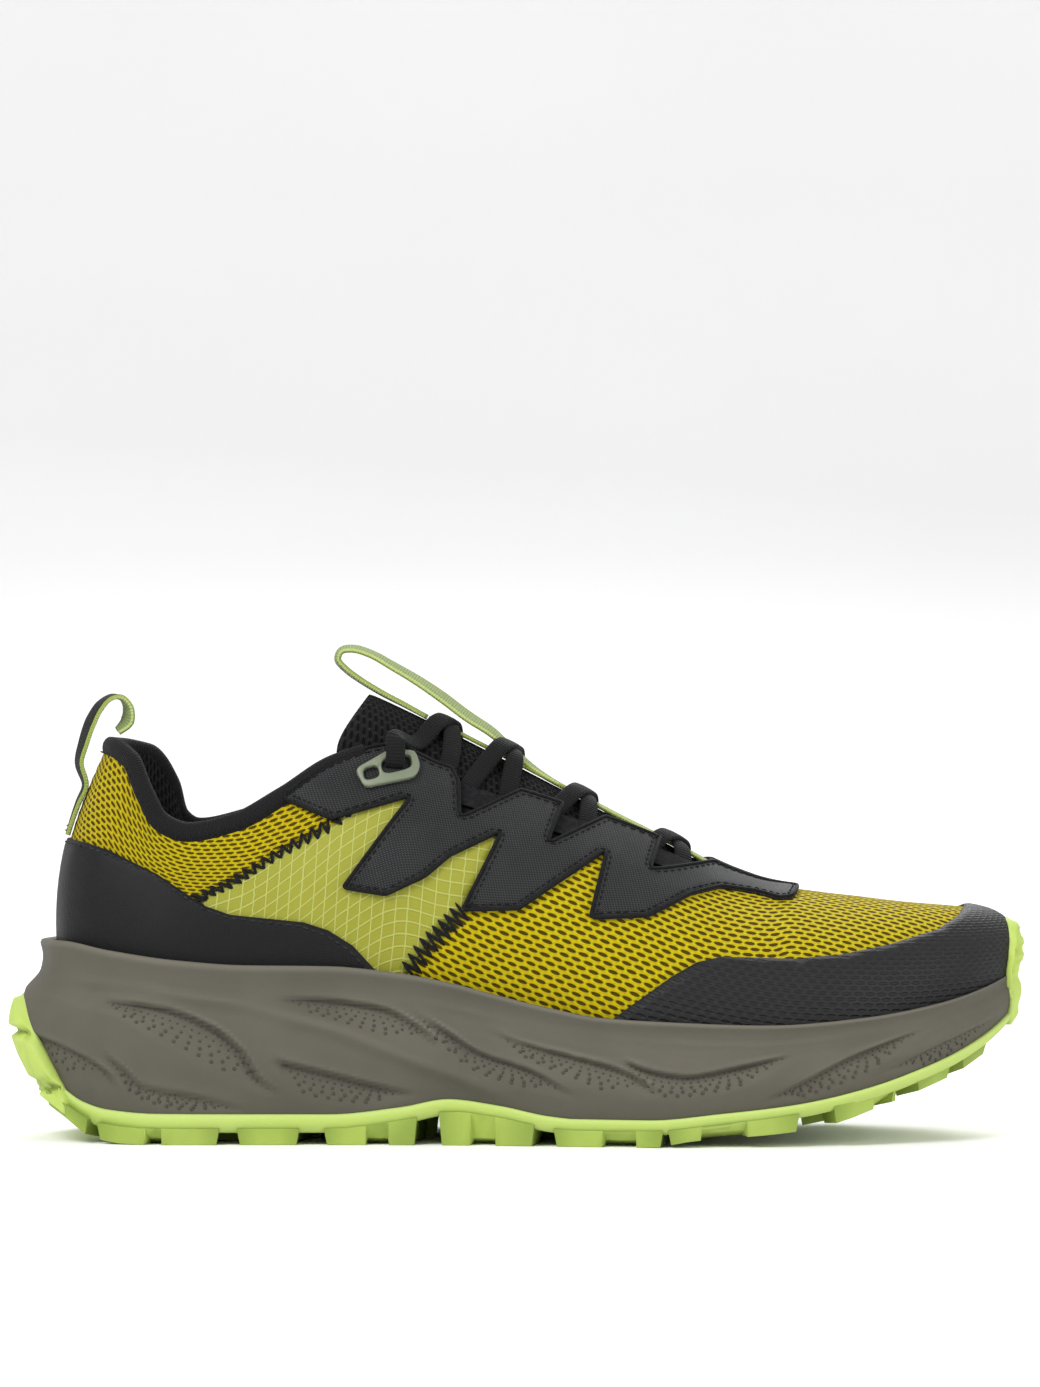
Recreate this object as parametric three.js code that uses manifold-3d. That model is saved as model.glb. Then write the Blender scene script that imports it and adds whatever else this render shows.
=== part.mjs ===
// A right-foot running shoe: lugged rubber outsole, foam midsole, layered mesh upper, padded collar
// and tongue, criss-cross flat lace, and webbing pull loops at the heel and on the tongue.
// Millimetres. +X points to the toe, +Y to the inner (medial) side, +Z up. The origin lies on the
// ground under the middle of the shoe.
//
// The sole and the upper share one pair of numbers. "along" runs from 0 at the heel's centre to 1 at
// the toe's tip, down either side; "rise" runs up a wall. Every layer is an offset of one wall.
import * as THREE from "three";
import { mergeVertices } from "three/addons/utils/BufferGeometryUtils.js";
import Module from "manifold-3d";

const wasm = await Module();
wasm.setup();

// ---- Driving dimensions ----------------------------------------------------------------------
const soleLength = 294.3; // the foam midsole, heel to toe
const heelX = -147; // the midsole's heel
const gap = 0.3; // clearance between pieces that touch
const alongStep = 1 / 32; // columns of every wall, so that layers stay parallel
const riseStep = 1 / 7;

const lateral = -1; // the outer side, towards -Y
const medial = 1;

const rimDepth = 5.5; // how far the upper sits down inside the midsole's rim
const meshThick = 1.0;
const overlayThick = 1.2; // toe cap, eyestay and heel cover
const stiffenerThick = 0.9; // toe puff and heel counter
const liningThick = 0.8;
const collarPad = 5.5; // foam thickness round the ankle
const bindingRadius = 2.4; // the rolled edge of the collar

const boardThick = 1.2; // the sewn-in insole board
const socklinerThick = 4.5;
const plateThick = 2.2; // the outsole's web between the lugs
const tabThick = 3.2; // outsole wrap up the heel and the toe
const lugPitch = 17;
const lugLength = 11.5;

const laceWidth = 5.6;
const laceThick = 1.3;
const strapWidth = 10;
const strapThick = 1.2;
const tongueThick = 3.2;

// ---- Small tools -------------------------------------------------------------------------------
const clamp = (v, lo, hi) => Math.min(hi, Math.max(lo, v));
const mix = (a, b, t) => a + (b - a) * t;
const range = (n) => [...Array(n).keys()];

// A smooth curve through [position, value] pairs that never overshoots them.
function smooth(points, level = false) {
  const x = points.map((p) => p[0]);
  const y = points.map((p) => p[1]);
  const slope = range(x.length - 1).map((i) => (y[i + 1] - y[i]) / (x[i + 1] - x[i]));
  const tangent = x.map((_, i) => {
    if (i === 0) return level ? 0 : slope[0];
    if (i === x.length - 1) return level ? 0 : slope[i - 1];
    const [a, b] = [slope[i - 1], slope[i]];
    if (a * b <= 0) return 0;
    const [h, k] = [x[i] - x[i - 1], x[i + 1] - x[i]];
    return (3 * (h + k)) / ((2 * k + h) / a + (k + 2 * h) / b);
  });
  return (at) => {
    const v = clamp(at, x[0], x[x.length - 1]);
    let i = 0;
    while (i < x.length - 2 && v > x[i + 1]) i += 1;
    const h = x[i + 1] - x[i];
    const t = (v - x[i]) / h;
    return (
      (1 + 2 * t) * (1 - t) ** 2 * y[i] +
      t * (1 - t) ** 2 * h * tangent[i] +
      t * t * (3 - 2 * t) * y[i + 1] +
      t * t * (t - 1) * h * tangent[i + 1]
    );
  };
}

// A closed solid from its vertices and triangles, turned the right way out.
function solidFrom(vertices, triangles) {
  const make = (tri) =>
    new wasm.Manifold(
      new wasm.Mesh({
        numProp: 3,
        vertProperties: new Float32Array(vertices.flat()),
        triVerts: new Uint32Array(tri.flat()),
      }),
    );
  const made = make(triangles);
  return made.volume() >= 0 ? made : make(triangles.map(([a, b, c]) => [a, c, b]));
}

function solidOf(geometry) {
  const bare = geometry.clone();
  for (const name of Object.keys(bare.attributes)) {
    if (name !== "position") bare.deleteAttribute(name);
  }
  const merged = mergeVertices(bare);
  const p = merged.attributes.position.array;
  const n = merged.index.array;
  return solidFrom(
    range(p.length / 3).map((i) => [p[3 * i], p[3 * i + 1], p[3 * i + 2]]),
    range(n.length / 3).map((i) => [n[3 * i], n[3 * i + 1], n[3 * i + 2]]),
  );
}

// A wall between two grids of points, outer[column][row] and inner[column][row].
function wallSolid(outer, inner) {
  const columns = outer.length;
  const rows = outer[0].length;
  const vertices = [...outer.flat(), ...inner.flat()];
  const out = (i, j) => i * rows + j;
  const inn = (i, j) => columns * rows + i * rows + j;
  const tri = [];
  const far = (a, b) => Math.hypot(...vertices[a].map((v, k) => v - vertices[b][k]));
  const quad = (a, b, c, d) => {
    // the shorter diagonal, so that layers over the same patch fold alike
    if (far(a, c) <= far(b, d)) tri.push([a, b, c], [a, c, d]);
    else tri.push([a, b, d], [b, c, d]);
  };
  for (let i = 0; i < columns - 1; i++) {
    for (let j = 0; j < rows - 1; j++) {
      quad(out(i, j), out(i + 1, j), out(i + 1, j + 1), out(i, j + 1));
      quad(inn(i, j), inn(i, j + 1), inn(i + 1, j + 1), inn(i + 1, j));
    }
    quad(out(i, 0), inn(i, 0), inn(i + 1, 0), out(i + 1, 0));
    quad(out(i, rows - 1), out(i + 1, rows - 1), inn(i + 1, rows - 1), inn(i, rows - 1));
  }
  for (let j = 0; j < rows - 1; j++) {
    quad(out(0, j), out(0, j + 1), inn(0, j + 1), inn(0, j));
    quad(out(columns - 1, j), inn(columns - 1, j), inn(columns - 1, j + 1), out(columns - 1, j + 1));
  }
  return solidFrom(...welded(vertices, tri));
}

// Joins vertices that share a place and drops the faces that close up or cancel out there.
function welded(vertices, triangles) {
  const places = new Map();
  const kept = [];
  const index = vertices.map((v) => {
    const key = v.map((c) => Math.round(c * 1e4)).join();
    if (!places.has(key)) places.set(key, kept.push(v) - 1);
    return places.get(key);
  });
  const faces = new Map();
  for (const t of triangles) {
    const f = t.map((i) => index[i]);
    if (new Set(f).size < 3) continue;
    const key = f.toSorted((a, b) => a - b).join();
    if (faces.has(key)) faces.delete(key);
    else faces.set(key, f);
  }
  return [kept, [...faces.values()]];
}

// A solid skinned over closed rings that run heel, lateral side, toe, medial side. The first and
// last rings are capped with strips across the shoe.
function ringSolid(rings) {
  const count = rings[0].length;
  const half = count / 2;
  const tri = [];
  const quad = (a, b, c, d) => tri.push([a, b, c], [a, c, d]);
  for (let r = 0; r < rings.length - 1; r++) {
    for (let i = 0; i < count; i++) {
      const k = (i + 1) % count;
      quad(r * count + i, r * count + k, (r + 1) * count + k, (r + 1) * count + i);
    }
  }
  const cap = (base, flip) => {
    const add = (a, b, c) => tri.push(flip ? [base + a, base + c, base + b] : [base + a, base + b, base + c]);
    add(0, count - 1, 1);
    for (let i = 1; i < half - 1; i++) {
      add(i, count - i, count - i - 1);
      add(i, count - i - 1, i + 1);
    }
    add(half - 1, half + 1, half);
  };
  cap(0, false);
  cap((rings.length - 1) * count, true);
  return solidFrom(rings.flat(), tri);
}

// A flat strap of given width and thickness that follows stations of {at, up, side}.
function strapSolid(stations, width, thick) {
  const corners = [[-1, -1], [1, -1], [1, 1], [-1, 1]];
  const rings = stations.map(({ at, up, side }) =>
    corners.map(([s, u]) =>
      at.clone().addScaledVector(side, (s * width) / 2).addScaledVector(up, (u * thick) / 2).toArray(),
    ),
  );
  const tri = [];
  for (let r = 0; r < rings.length - 1; r++) {
    for (let i = 0; i < 4; i++) {
      const k = (i + 1) % 4;
      tri.push([4 * r + i, 4 * r + k, 4 * r + 4 + k], [4 * r + i, 4 * r + 4 + k, 4 * r + 4 + i]);
    }
  }
  const last = 4 * (rings.length - 1);
  tri.push([0, 2, 1], [0, 3, 2], [last, last + 1, last + 2], [last, last + 2, last + 3]);
  return solidFrom(rings.flat(), tri);
}

// A prism of a side-view outline of [x, z] points, through the shoe from y = from to y = to.
function sidePrism(outline, from = -90, to = 90) {
  const shape = new THREE.Shape(outline.map(([x, z]) => new THREE.Vector2(x, z)));
  const geometry = new THREE.ExtrudeGeometry(shape, { depth: to - from, bevelEnabled: false });
  return solidOf(geometry.rotateX(Math.PI / 2).translate(0, to, 0));
}

// A thin cut that follows a side-view line of [x, z] points.
function seamPrism(line, width = gap) {
  const points = line.map(([x, z]) => new THREE.Vector2(x, z));
  const normal = (i) => {
    const along = points[Math.min(i + 1, points.length - 1)].clone().sub(points[Math.max(i - 1, 0)]);
    return new THREE.Vector2(-along.y, along.x).normalize();
  };
  const offset = (sign) =>
    points.map((p, i) => p.clone().addScaledVector(normal(i), (sign * width) / 2).toArray());
  return sidePrism([...offset(1), ...offset(-1).reverse()]);
}

// Evenly stepped values from one to the other, shared by all the walls.
function gridOf(from, to, step) {
  const first = Math.round(from / step);
  return range(Math.round(to / step) - first + 1).map((i) => (first + i) * step);
}

// ---- The sole's plan and levels ----------------------------------------------------------------
const toeX = heelX + soleLength;
const alongX = smooth(
  [[0, 0], [0.05, 4], [0.12, 19], [0.22, 47], [0.34, 85], [0.46, 125], [0.58, 165], [0.68, 199],
    [0.78, 233], [0.87, 263], [0.94, 284], [1, 295.5]].map(([t, x]) => [t, heelX + (x * soleLength) / 295.5]),
  true,
);
const reachLateral = smooth([[0, 0], [0.05, 19], [0.12, 36], [0.22, 44.5], [0.34, 44], [0.46, 45],
  [0.58, 51.5], [0.68, 56], [0.78, 53], [0.87, 41], [0.94, 21], [1, -6]]);
const reachMedial = smooth([[0, 0], [0.05, 19], [0.12, 35], [0.22, 42.5], [0.34, 39], [0.46, 38],
  [0.58, 46], [0.68, 53.5], [0.78, 56], [0.87, 49.5], [0.94, 34], [1, 6]]);

// The top of the foam, where the upper meets it, and the foam's underside, both against x.
const biteZ = smooth([[-147, 57.5], [-133, 58], [-119, 55.7], [-97, 52.8], [-80, 51.6], [-55, 51.3],
  [-34, 49.2], [-20, 46.6], [-6, 43], [9, 39.5], [23, 36.9], [44, 35.7], [72, 34.8], [100, 36.8],
  [122, 40.4], [136, 44.2], [148.5, 49.2]]);
const foamZ = smooth([[-147, 20], [-140, 17.8], [-133, 13.3], [-126, 8.8], [-119, 6.8], [-105, 5.9],
  [-55, 5.9], [-34, 8.3], [-20, 11], [-6, 9.4], [9, 6.5], [16, 5.9], [37, 5.9], [58, 8], [79, 10.6],
  [100, 15.3], [115, 20.3], [129, 26.2], [143, 35], [148.5, 41]]);

// How far the foam wall stands in from the plan outline, against its rise.
const heelTuck = smooth([[0, 6], [0.2, 2.2], [0.4, 0], [0.62, 1.6], [0.78, 6.2], [0.88, 6.8], [1, 5.8]]);
const sideTuck = smooth([[0, 3.5], [0.2, 1.2], [0.4, 0], [0.62, 1], [0.78, 3.6], [0.88, 4], [1, 3.2]]);
const heelShare = smooth([[0, 1], [0.1, 0.8], [0.22, 0], [1, 0]]);

function plan(along, side) {
  return new THREE.Vector2(alongX(along), side * (side === lateral ? reachLateral : reachMedial)(along));
}

// The outward direction in plan; both sides share it at the heel's centre and the toe's tip.
function outward(along, side) {
  if (along <= 0) return new THREE.Vector2(-1, 0);
  if (along >= 1) return new THREE.Vector2(1, 0);
  const step = 0.004;
  const d = plan(Math.min(along + step, 1), side).sub(plan(Math.max(along - step, 0), side)).normalize();
  return new THREE.Vector2(-side * d.y, side * d.x);
}

function solePoint(along, side, inset, z) {
  const p = plan(along, side).addScaledVector(outward(along, side), -inset);
  return [p.x, p.y, z(p.x)];
}

// A closed ring of sole points: heel, lateral side, toe, medial side.
const alongs = gridOf(0, 1, alongStep);
function soleRing(inset, z, list = alongs) {
  const inner = list.slice(1, -1);
  const at = (along, side) => solePoint(along, side, typeof inset === "function" ? inset(along) : inset, z);
  return [
    at(0, lateral),
    ...inner.map((a) => at(a, lateral)),
    at(1, lateral),
    ...inner.toReversed().map((a) => at(a, medial)),
  ];
}
const toeTuck = smooth([[0, 1], [0.75, 1], [0.93, 0.35], [1, 0.25]]); // the wall stands straighter at the toe
const foamTuck = (rise) => (along) =>
  mix(sideTuck(rise) * toeTuck(along), heelTuck(rise), heelShare(along));

// ---- The upper's surface -------------------------------------------------------------------------
const upperInset = smooth([[0, 12.4], [0.12, 11], [0.22, 10], [0.46, 8.5], [0.68, 8], [0.87, 7.2], [1, 6]]);
const topX = smooth([[0, -121], [0.05, -118.5], [0.1, -113.5], [0.14, -109], [0.18, -104], [0.22, -96],
  [0.28, -82], [0.33, -68], [0.38, -53], [0.42, -38], [0.46, -24], [0.5, -9], [0.56, 10], [0.62, 31],
  [0.68, 52], [0.72, 64], [0.75, 73], [0.78, 81], [0.87, 101], [0.94, 112], [1, 118]]);
const topZ = smooth([[0, 115.6], [0.05, 115], [0.1, 111.5], [0.14, 101.5], [0.18, 93.3], [0.22, 90.4],
  [0.28, 93.4], [0.33, 101.3], [0.38, 111], [0.42, 115], [0.46, 109.5], [0.5, 104.6], [0.56, 98.4],
  [0.62, 91.4], [0.68, 82.4], [0.72, 77], [0.75, 74], [0.78, 72.6], [0.87, 70], [0.94, 68.4], [1, 67.6]]);
const topSpread = smooth([[0, 0], [0.05, 11], [0.1, 19], [0.14, 24], [0.18, 27.5], [0.22, 29.5],
  [0.28, 30], [0.33, 27.5], [0.38, 23.5], [0.42, 20], [0.46, 18.4], [0.56, 17.4], [0.62, 16],
  [0.68, 12.6], [0.72, 8], [0.75, 3.6], [0.78, 1.8], [0.94, 1.5], [1, 0]]);
const topCentre = smooth([[0, 0], [0.6, 0], [0.75, 1.2], [1, 6]]);
const topLean = smooth([[0, 25], [0.1, 18], [0.22, 8], [0.33, 16], [0.42, 38], [0.56, 52], [0.68, 66],
  [0.75, 84], [0.78, 90], [1, 90]]);
const wallShare = smooth([[0, 0.42], [0.5, 0.45], [0.75, 0.5], [0.88, 0.62], [1, 0.8]]);
const roofShare = smooth([[0, 0.4], [0.75, 0.42], [0.88, 0.5], [1, 0.62]]);
const wallSwell = smooth([[0, 2], [0.1, 2], [0.22, 2.5], [0.5, 2.5], [0.75, 2.5], [1, 1.5]]);
const throatFront = 0.745;

function upperFoot(along, side) {
  const p = plan(along, side).addScaledVector(outward(along, side), -upperInset(along));
  return new THREE.Vector3(p.x, p.y, biteZ(p.x) - rimDepth + gap);
}

function upperTop(along, side) {
  return new THREE.Vector3(topX(along), topCentre(along) + side * topSpread(along), topZ(along));
}

function upperMid(along, rise, side) {
  const foot = upperFoot(along, side);
  const top = upperTop(along, side);
  const out = outward(along, side);
  const level = new THREE.Vector3(top.x - foot.x, top.y - foot.y, 0).normalize();
  const chord = foot.distanceTo(top);
  const lean = THREE.MathUtils.degToRad(topLean(along));
  const low = foot.clone().add(new THREE.Vector3(out.x, out.y, 0).multiplyScalar(wallSwell(along)));
  low.z += (top.z - foot.z) * wallShare(along);
  const reach = chord * roofShare(along);
  const high = top.clone().addScaledVector(level, -Math.sin(lean) * reach);
  high.z -= Math.cos(lean) * reach;
  return new THREE.CubicBezierCurve3(foot, low, high, top).getPoint(rise);
}

// The outward direction of the surface. At either end both sides share the middle plane's.
function sideNormal(along, rise, side) {
  const step = 0.006;
  const a = clamp(along, step, 1 - step);
  const r = clamp(rise, step, 1 - step);
  const dAlong = upperMid(a + step, r, side).sub(upperMid(a - step, r, side));
  const dRise = upperMid(a, r + step, side).sub(upperMid(a, r - step, side));
  return dAlong.cross(dRise).multiplyScalar(-side).normalize();
}

function upperNormal(along, rise, side) {
  if (along > 0 && along < 1) return sideNormal(along, rise, side);
  return sideNormal(along, rise, lateral).add(sideNormal(along, rise, medial)).setY(0).normalize();
}

// A point of the upper, so many millimetres in from its outer mesh face.
function upperPoint(along, rise, side, depth) {
  return upperMid(along, rise, side).addScaledVector(upperNormal(along, rise, side), -depth);
}

// A wall that follows the upper on one side. Depths may vary with along and rise.
const depthAt = (d, a, r) => (typeof d === "function" ? d(a, r) : d);
const spread = (from, to, count) => range(count + 1).map((i) => mix(from, to, i / count));

function sidePatch(side, [a0, a1], [r0, r1], near, far) {
  const grid = (depth) =>
    gridOf(a0, a1, alongStep).map((a) =>
      gridOf(r0, r1, riseStep).map((r) => upperPoint(a, r, side, depthAt(depth, a, r)).toArray()),
    );
  return wallSolid(grid(near), grid(far));
}

// A wall that runs down one side and back up the other, round the heel or the toe.
function roundPatch(end, reach, [r0, r1], near, far) {
  const list = end === 0 ? gridOf(0, reach, alongStep).toReversed() : gridOf(1 - reach, 1, alongStep);
  const walk = [
    ...list.map((a) => [a, lateral]),
    ...list.toReversed().slice(1).map((a) => [a, medial]),
  ];
  const grid = (depth) =>
    walk.map(([a, side]) =>
      gridOf(r0, r1, riseStep).map((r) => upperPoint(a, r, side, depthAt(depth, a, r)).toArray()),
    );
  return wallSolid(grid(near), grid(far));
}

// Everything the upper's layers fill, this much clear of the outermost one.
function upperRoom(clear, rises = gridOf(0, 6 * riseStep, riseStep)) {
  const inner = alongs.slice(1, -1);
  const ring = (r, fixZ) => {
    const at = (a, side) => {
      const p = upperPoint(a, r, side, -clear).toArray();
      return fixZ ? [p[0], p[1], Math.min(basinZ(p[0]), p[2] - gap)] : p;
    };
    return [
      at(0, lateral),
      ...inner.map((a) => at(a, lateral)),
      at(1, lateral),
      ...inner.toReversed().map((a) => at(a, medial)),
    ];
  };
  return ringSolid([ring(0, true), ...rises.map((r) => ring(r, false)).slice(1)]);
}

// ---- Cutting outlines, seen from the side: [x, z] ------------------------------------------------
const rearSeam = [[-101, 40], [-99, 60], [-92.5, 71.3], [-83.4, 75.1], [-69.3, 84], [-54.2, 92.2],
  [-44, 102], [-40, 125]];
const frontSeam = [[-36, 38], [-32, 49.2], [-26.8, 56.6], [-15.9, 67.5], [-6, 84], [-2, 115]];
const coverEdge = [[-133.5, 87.6], [-125.8, 86.4], [-118.8, 84.3], [-104.6, 77.5], [-91.1, 68.6],
  [-83.4, 66], [-62.2, 63.9], [-55.1, 61.6], [-48, 57.2], [-40, 48.5], [-36, 38]];
const capEdge = [[20, 30], [27.4, 36.8], [36.8, 43.6], [43.9, 48.6], [51, 52.5], [58.1, 53.9],
  [79.3, 53], [93.4, 54.2], [107.6, 56.9], [121.7, 60.7], [128, 64], [131.5, 68], [132, 85]];
const stayEdge = [[-61, 104], [-61.6, 98.1], [-53.9, 93.4], [-32.1, 99.6], [-51, 74], [-49.8, 73.4],
  [-38.3, 71.6], [-26.8, 76.9], [-19.7, 82.8], [-5.6, 89.3], [-16.5, 67.8], [-14.4, 67.2],
  [0.3, 67.5], [8.5, 73.1], [24.8, 83.7], [20.3, 65.7], [21.5, 64.8], [37.4, 65.4], [49.5, 71.3],
  [58.4, 73.2], [69.3, 71.4], [75.7, 69.5], [78.7, 69], [81.3, 72.8], [73.7, 75.4], [58.9, 80.7],
  [43.6, 79], [38, 78.6], [41.8, 89], [25.6, 94], [8.5, 86.5], [13, 98.1], [0.6, 101.7],
  [-17, 94], [-17.5, 104], [-22, 112], [-38, 120], [-50, 114]];

const past = (line, ...more) => sidePrism([...line, ...more]);
const behindRear = past(rearSeam, [-160, 135], [-160, 40]);
const aheadOfFront = past(frontSeam, [160, 115], [160, 20], [-30, 20]);
const belowCover = past(coverEdge, [-36, 20], [-160, 20], [-160, 87.6]);
const aheadOfCap = past(capEdge, [170, 85], [170, 20], [20, 20]);
const stayShape = { [lateral]: sidePrism(stayEdge, -90, -1.2), [medial]: sidePrism(stayEdge, 3.6, 90) };

// The foot's way in, seen from above: everything over the throat, this much wider than its edges.
function throatCut(margin) {
  const list = [...spread(0.34, throatFront, 16)];
  const edge = (side) =>
    list.map((a) => [upperTop(a, side).x, topCentre(a) + side * (topSpread(a) + margin)]);
  const tip = [topX(throatFront) + 3 + margin, topCentre(throatFront)];
  const outline = [...edge(lateral), tip, ...edge(medial).toReversed()];
  const shape = new THREE.Shape(outline.map(([x, y]) => new THREE.Vector2(x, y)));
  const depth = 90;
  return solidOf(new THREE.ExtrudeGeometry(shape, { depth, bevelEnabled: false }).translate(0, 0, 66));
}

// A round cord along a run of points, by stations across it.
function tubeSolid(points, radius, sides = 8) {
  const rings = points.map((p, i) => {
    const along = points[Math.min(i + 1, points.length - 1)].clone().sub(points[Math.max(i - 1, 0)]);
    const across = new THREE.Vector3(along.y, -along.x, 0).normalize();
    const up = across.clone().cross(along).normalize();
    return range(sides).map((k) => {
      const turn = (2 * Math.PI * k) / sides;
      return p.clone().addScaledVector(across, radius * Math.cos(turn))
        .addScaledVector(up, radius * Math.sin(turn)).toArray();
    });
  });
  const tri = [];
  for (let r = 0; r < rings.length - 1; r++) {
    for (let i = 0; i < sides; i++) {
      const k = (i + 1) % sides;
      tri.push([r * sides + i, r * sides + k, (r + 1) * sides + k]);
      tri.push([r * sides + i, (r + 1) * sides + k, (r + 1) * sides + i]);
    }
  }
  const last = sides * (rings.length - 1);
  for (let i = 1; i < sides - 1; i++) tri.push([0, i + 1, i], [last, last + i, last + i + 1]);
  return solidFrom(rings.flat(), tri);
}

// ---- Pieces ---------------------------------------------------------------------------------------
const shoe = new THREE.Group();
shoe.name = "running_shoe";

const looks = {
  rubber: [0xcdf06e, 0.75],
  foam: [0x68645a, 0.85],
  mesh: [0xc8b21e, 0.9],
  ripstop: [0xc4c848, 0.8],
  black: [0x28282a, 0.7],
  grey: [0x3c3c3e, 0.8],
  plate: [0x7d8770, 0.5],
};

// The biggest of a cut solid's bodies.
function main(solid) {
  return solid.decompose().reduce((a, b) => (b.volume() > a.volume() ? b : a));
}

function add(name, solid, look) {
  const mesh = main(solid).getMesh();
  const geometry = new THREE.BufferGeometry();
  const stride = mesh.numProp;
  const position = new Float32Array((mesh.vertProperties.length / stride) * 3);
  for (let i = 0; i < position.length / 3; i++) {
    for (let k = 0; k < 3; k++) position[3 * i + k] = mesh.vertProperties[i * stride + k];
  }
  geometry.setAttribute("position", new THREE.BufferAttribute(position, 3));
  geometry.setIndex(new THREE.BufferAttribute(new Uint32Array(mesh.triVerts), 1));
  const [color, roughness] = looks[look];
  const node = new THREE.Mesh(geometry, new THREE.MeshStandardMaterial({ color, roughness }));
  node.name = name;
  shoe.add(node);
}

const sideName = { [lateral]: "lateral", [medial]: "medial" };

// The midsole: a foam wall with a tucked rim and a basin for the upper.
const basinZ = (x) => biteZ(x) - rimDepth;

function foamBody(extra) {
  const rises = [0, 0.2, 0.4, 0.62, 0.78, 0.88, 1];
  const rings = rises.map((r) => {
    const lift = r === 0 ? -extra : 0;
    return soleRing((a) => foamTuck(r)(a) - extra, (x) => mix(foamZ(x), biteZ(x), r) + lift);
  });
  return ringSolid(extra > 0 ? [...rings, soleRing(foamTuck(1), (x) => biteZ(x) + 30)] : rings);
}

function midsole() {
  const body = foamBody(0);
  return body.subtract(upperRoom(overlayThick + gap * 2, gridOf(0, 4 * riseStep, riseStep)));
}

// The outsole: a web under the foam, wraps up the heel and toe, and rows of lugs down to the ground.
const groundZ = smooth([[-152, 24], [-148, 19], [-139, 12], [-130, 6.2], [-124, 2], [-112, 0], [39, 0],
  [47, 1.5], [79, 4.4], [91, 6.8], [103, 10.9], [116, 15.6], [129, 21], [143, 30.6], [150, 40]]);

function outsoleWeb() {
  const top = (x) => foamZ(x) - gap;
  const inset = (along) => foamTuck(0)(along) - 1.5;
  return ringSolid([soleRing(inset, (x) => top(x) - plateThick), soleRing(inset, top)]);
}

// A wrap that stands against the foam's end wall, round the heel or up over the toe.
function outsoleTab(from, to, reachUp, lean) {
  const rises = [0, 0.33, 0.66, 1];
  const walk = [
    ...spread(from, to, 6).map((a) => [a, lateral]),
    ...spread(to, from, 6).slice(1).map((a) => [a, medial]),
  ];
  const grid = (stand) =>
    walk.map(([a, side]) =>
      rises.map((r) => {
        const inset = foamTuck(r * 0.6)(a) - stand + lean * r ** 3;
        return solePoint(a, side, inset, (x) => foamZ(x) - gap - plateThick + r * reachUp(a));
      }),
    );
  return wallSolid(grid(gap + tabThick), grid(-1.5));
}

function lugs() {
  const rows = [];
  for (const side of [lateral, medial]) {
    for (const [row, share] of [[0, 0.84], [1, 0.42]]) {
      for (const k of range(18)) {
        const x = -122 + k * lugPitch + row * lugPitch * 0.5;
        if (x > 128) continue;
        const along = bisect(x);
        const reachHere = Math.abs(plan(along, side).y) * share - 3;
        if (reachHere < 6) continue;
        rows.push(lugSolid(x, side * reachHere, row === 0 ? 9.5 : 8));
      }
    }
  }
  return rows;
}

const bisect = (x) => {
  let [lo, hi] = [0, 1];
  for (const _ of range(30)) {
    const m = (lo + hi) / 2;
    if (alongX(m) < x) lo = m;
    else hi = m;
  }
  return lo;
};

// One lug: a tapered block whose foot lies on the ground line and whose root sinks in the web.
function lugSolid(x, y, wide) {
  const foot = lugLength / 2;
  const root = foot + 0.8;
  const ring = (half, halfWide, z) =>
    [[-1, -1], [1, -1], [1, 1], [-1, 1]].map(([u, v]) => [
      x + u * half, y + v * halfWide, z(x + u * half)]);
  const low = ring(foot, wide / 2, (at) => groundZ(at));
  const roots = [-root, 0, root].map((u) => foamZ(x + u));
  const high = ring(root, wide / 2 + 0.8, () => Math.min(...roots) - gap - plateThick * 0.5);
  const n = low.length;
  const tri = [];
  for (const i of range(n)) {
    const k = (i + 1) % n;
    tri.push([i, k, n + k], [i, n + k, n + i]);
  }
  for (const i of range(n - 2)) tri.push([0, i + 2, i + 1], [n, n + i + 1, n + i + 2]);
  return solidFrom([...low, ...high], tri);
}

function outsole() {
  const heel = outsoleTab(0.085, 0, (a) => 23 * (1 - (a / 0.09) ** 2) + 3, 1);
  const toe = outsoleTab(0.94, 1, (a) => 24 * (1 - ((1 - a) / 0.065) ** 2) + 3, 5);
  return wasm.Manifold.union([outsoleWeb(), heel, toe, ...lugs()])
    .subtract(foamBody(gap))
    .subtract(upperRoom(overlayThick + gap * 2));
}

add("midsole", midsole(), "foam");
add("outsole", outsole(), "rubber");

// The insole board and the loose sockliner fill the basin and the bottom of the upper.
function insole(name, inset, low, thick, look) {
  const z = (lift) => (x) => basinZ(x) + low + lift;
  add(name, ringSolid([soleRing(inset, z(0)), soleRing(inset, z(thick))]), look);
}
const liningDepth = meshThick + stiffenerThick + gap * 2;
const insideDepth = liningDepth + liningThick + gap;
insole("strobel_board", (a) => upperInset(a) + insideDepth + 0.6, gap, boardThick, "grey");
insole("sockliner", (a) => upperInset(a) + insideDepth + 1.4, boardThick + gap * 2, socklinerThick, "black");

const bindingLine = (side) => (a) => upperPoint(a, 1, side, 1.4);
const bindingEnd = 0.4;
const bindingPoints = [
  ...spread(bindingEnd, 0, 22).map(bindingLine(lateral)),
  ...spread(0, bindingEnd, 22).slice(1).map(bindingLine(medial)),
];
const bindingRoom = tubeSolid(bindingPoints, bindingRadius + gap);
const throat = throatCut(1.2);

// The lace's way through each eyestay: a slot square to the surface.
const slot = { along: 0.4225, rise: 0.9 };
function slotFrame(side) {
  const { along, rise } = slot;
  const out = upperNormal(along, rise, side);
  const fore = upperMid(along + 0.01, rise, side).sub(upperMid(along - 0.01, rise, side)).normalize();
  const upward = fore.clone().cross(out).multiplyScalar(side).normalize();
  return { at: upperMid(along, rise, side), out, fore, upward };
}

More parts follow.
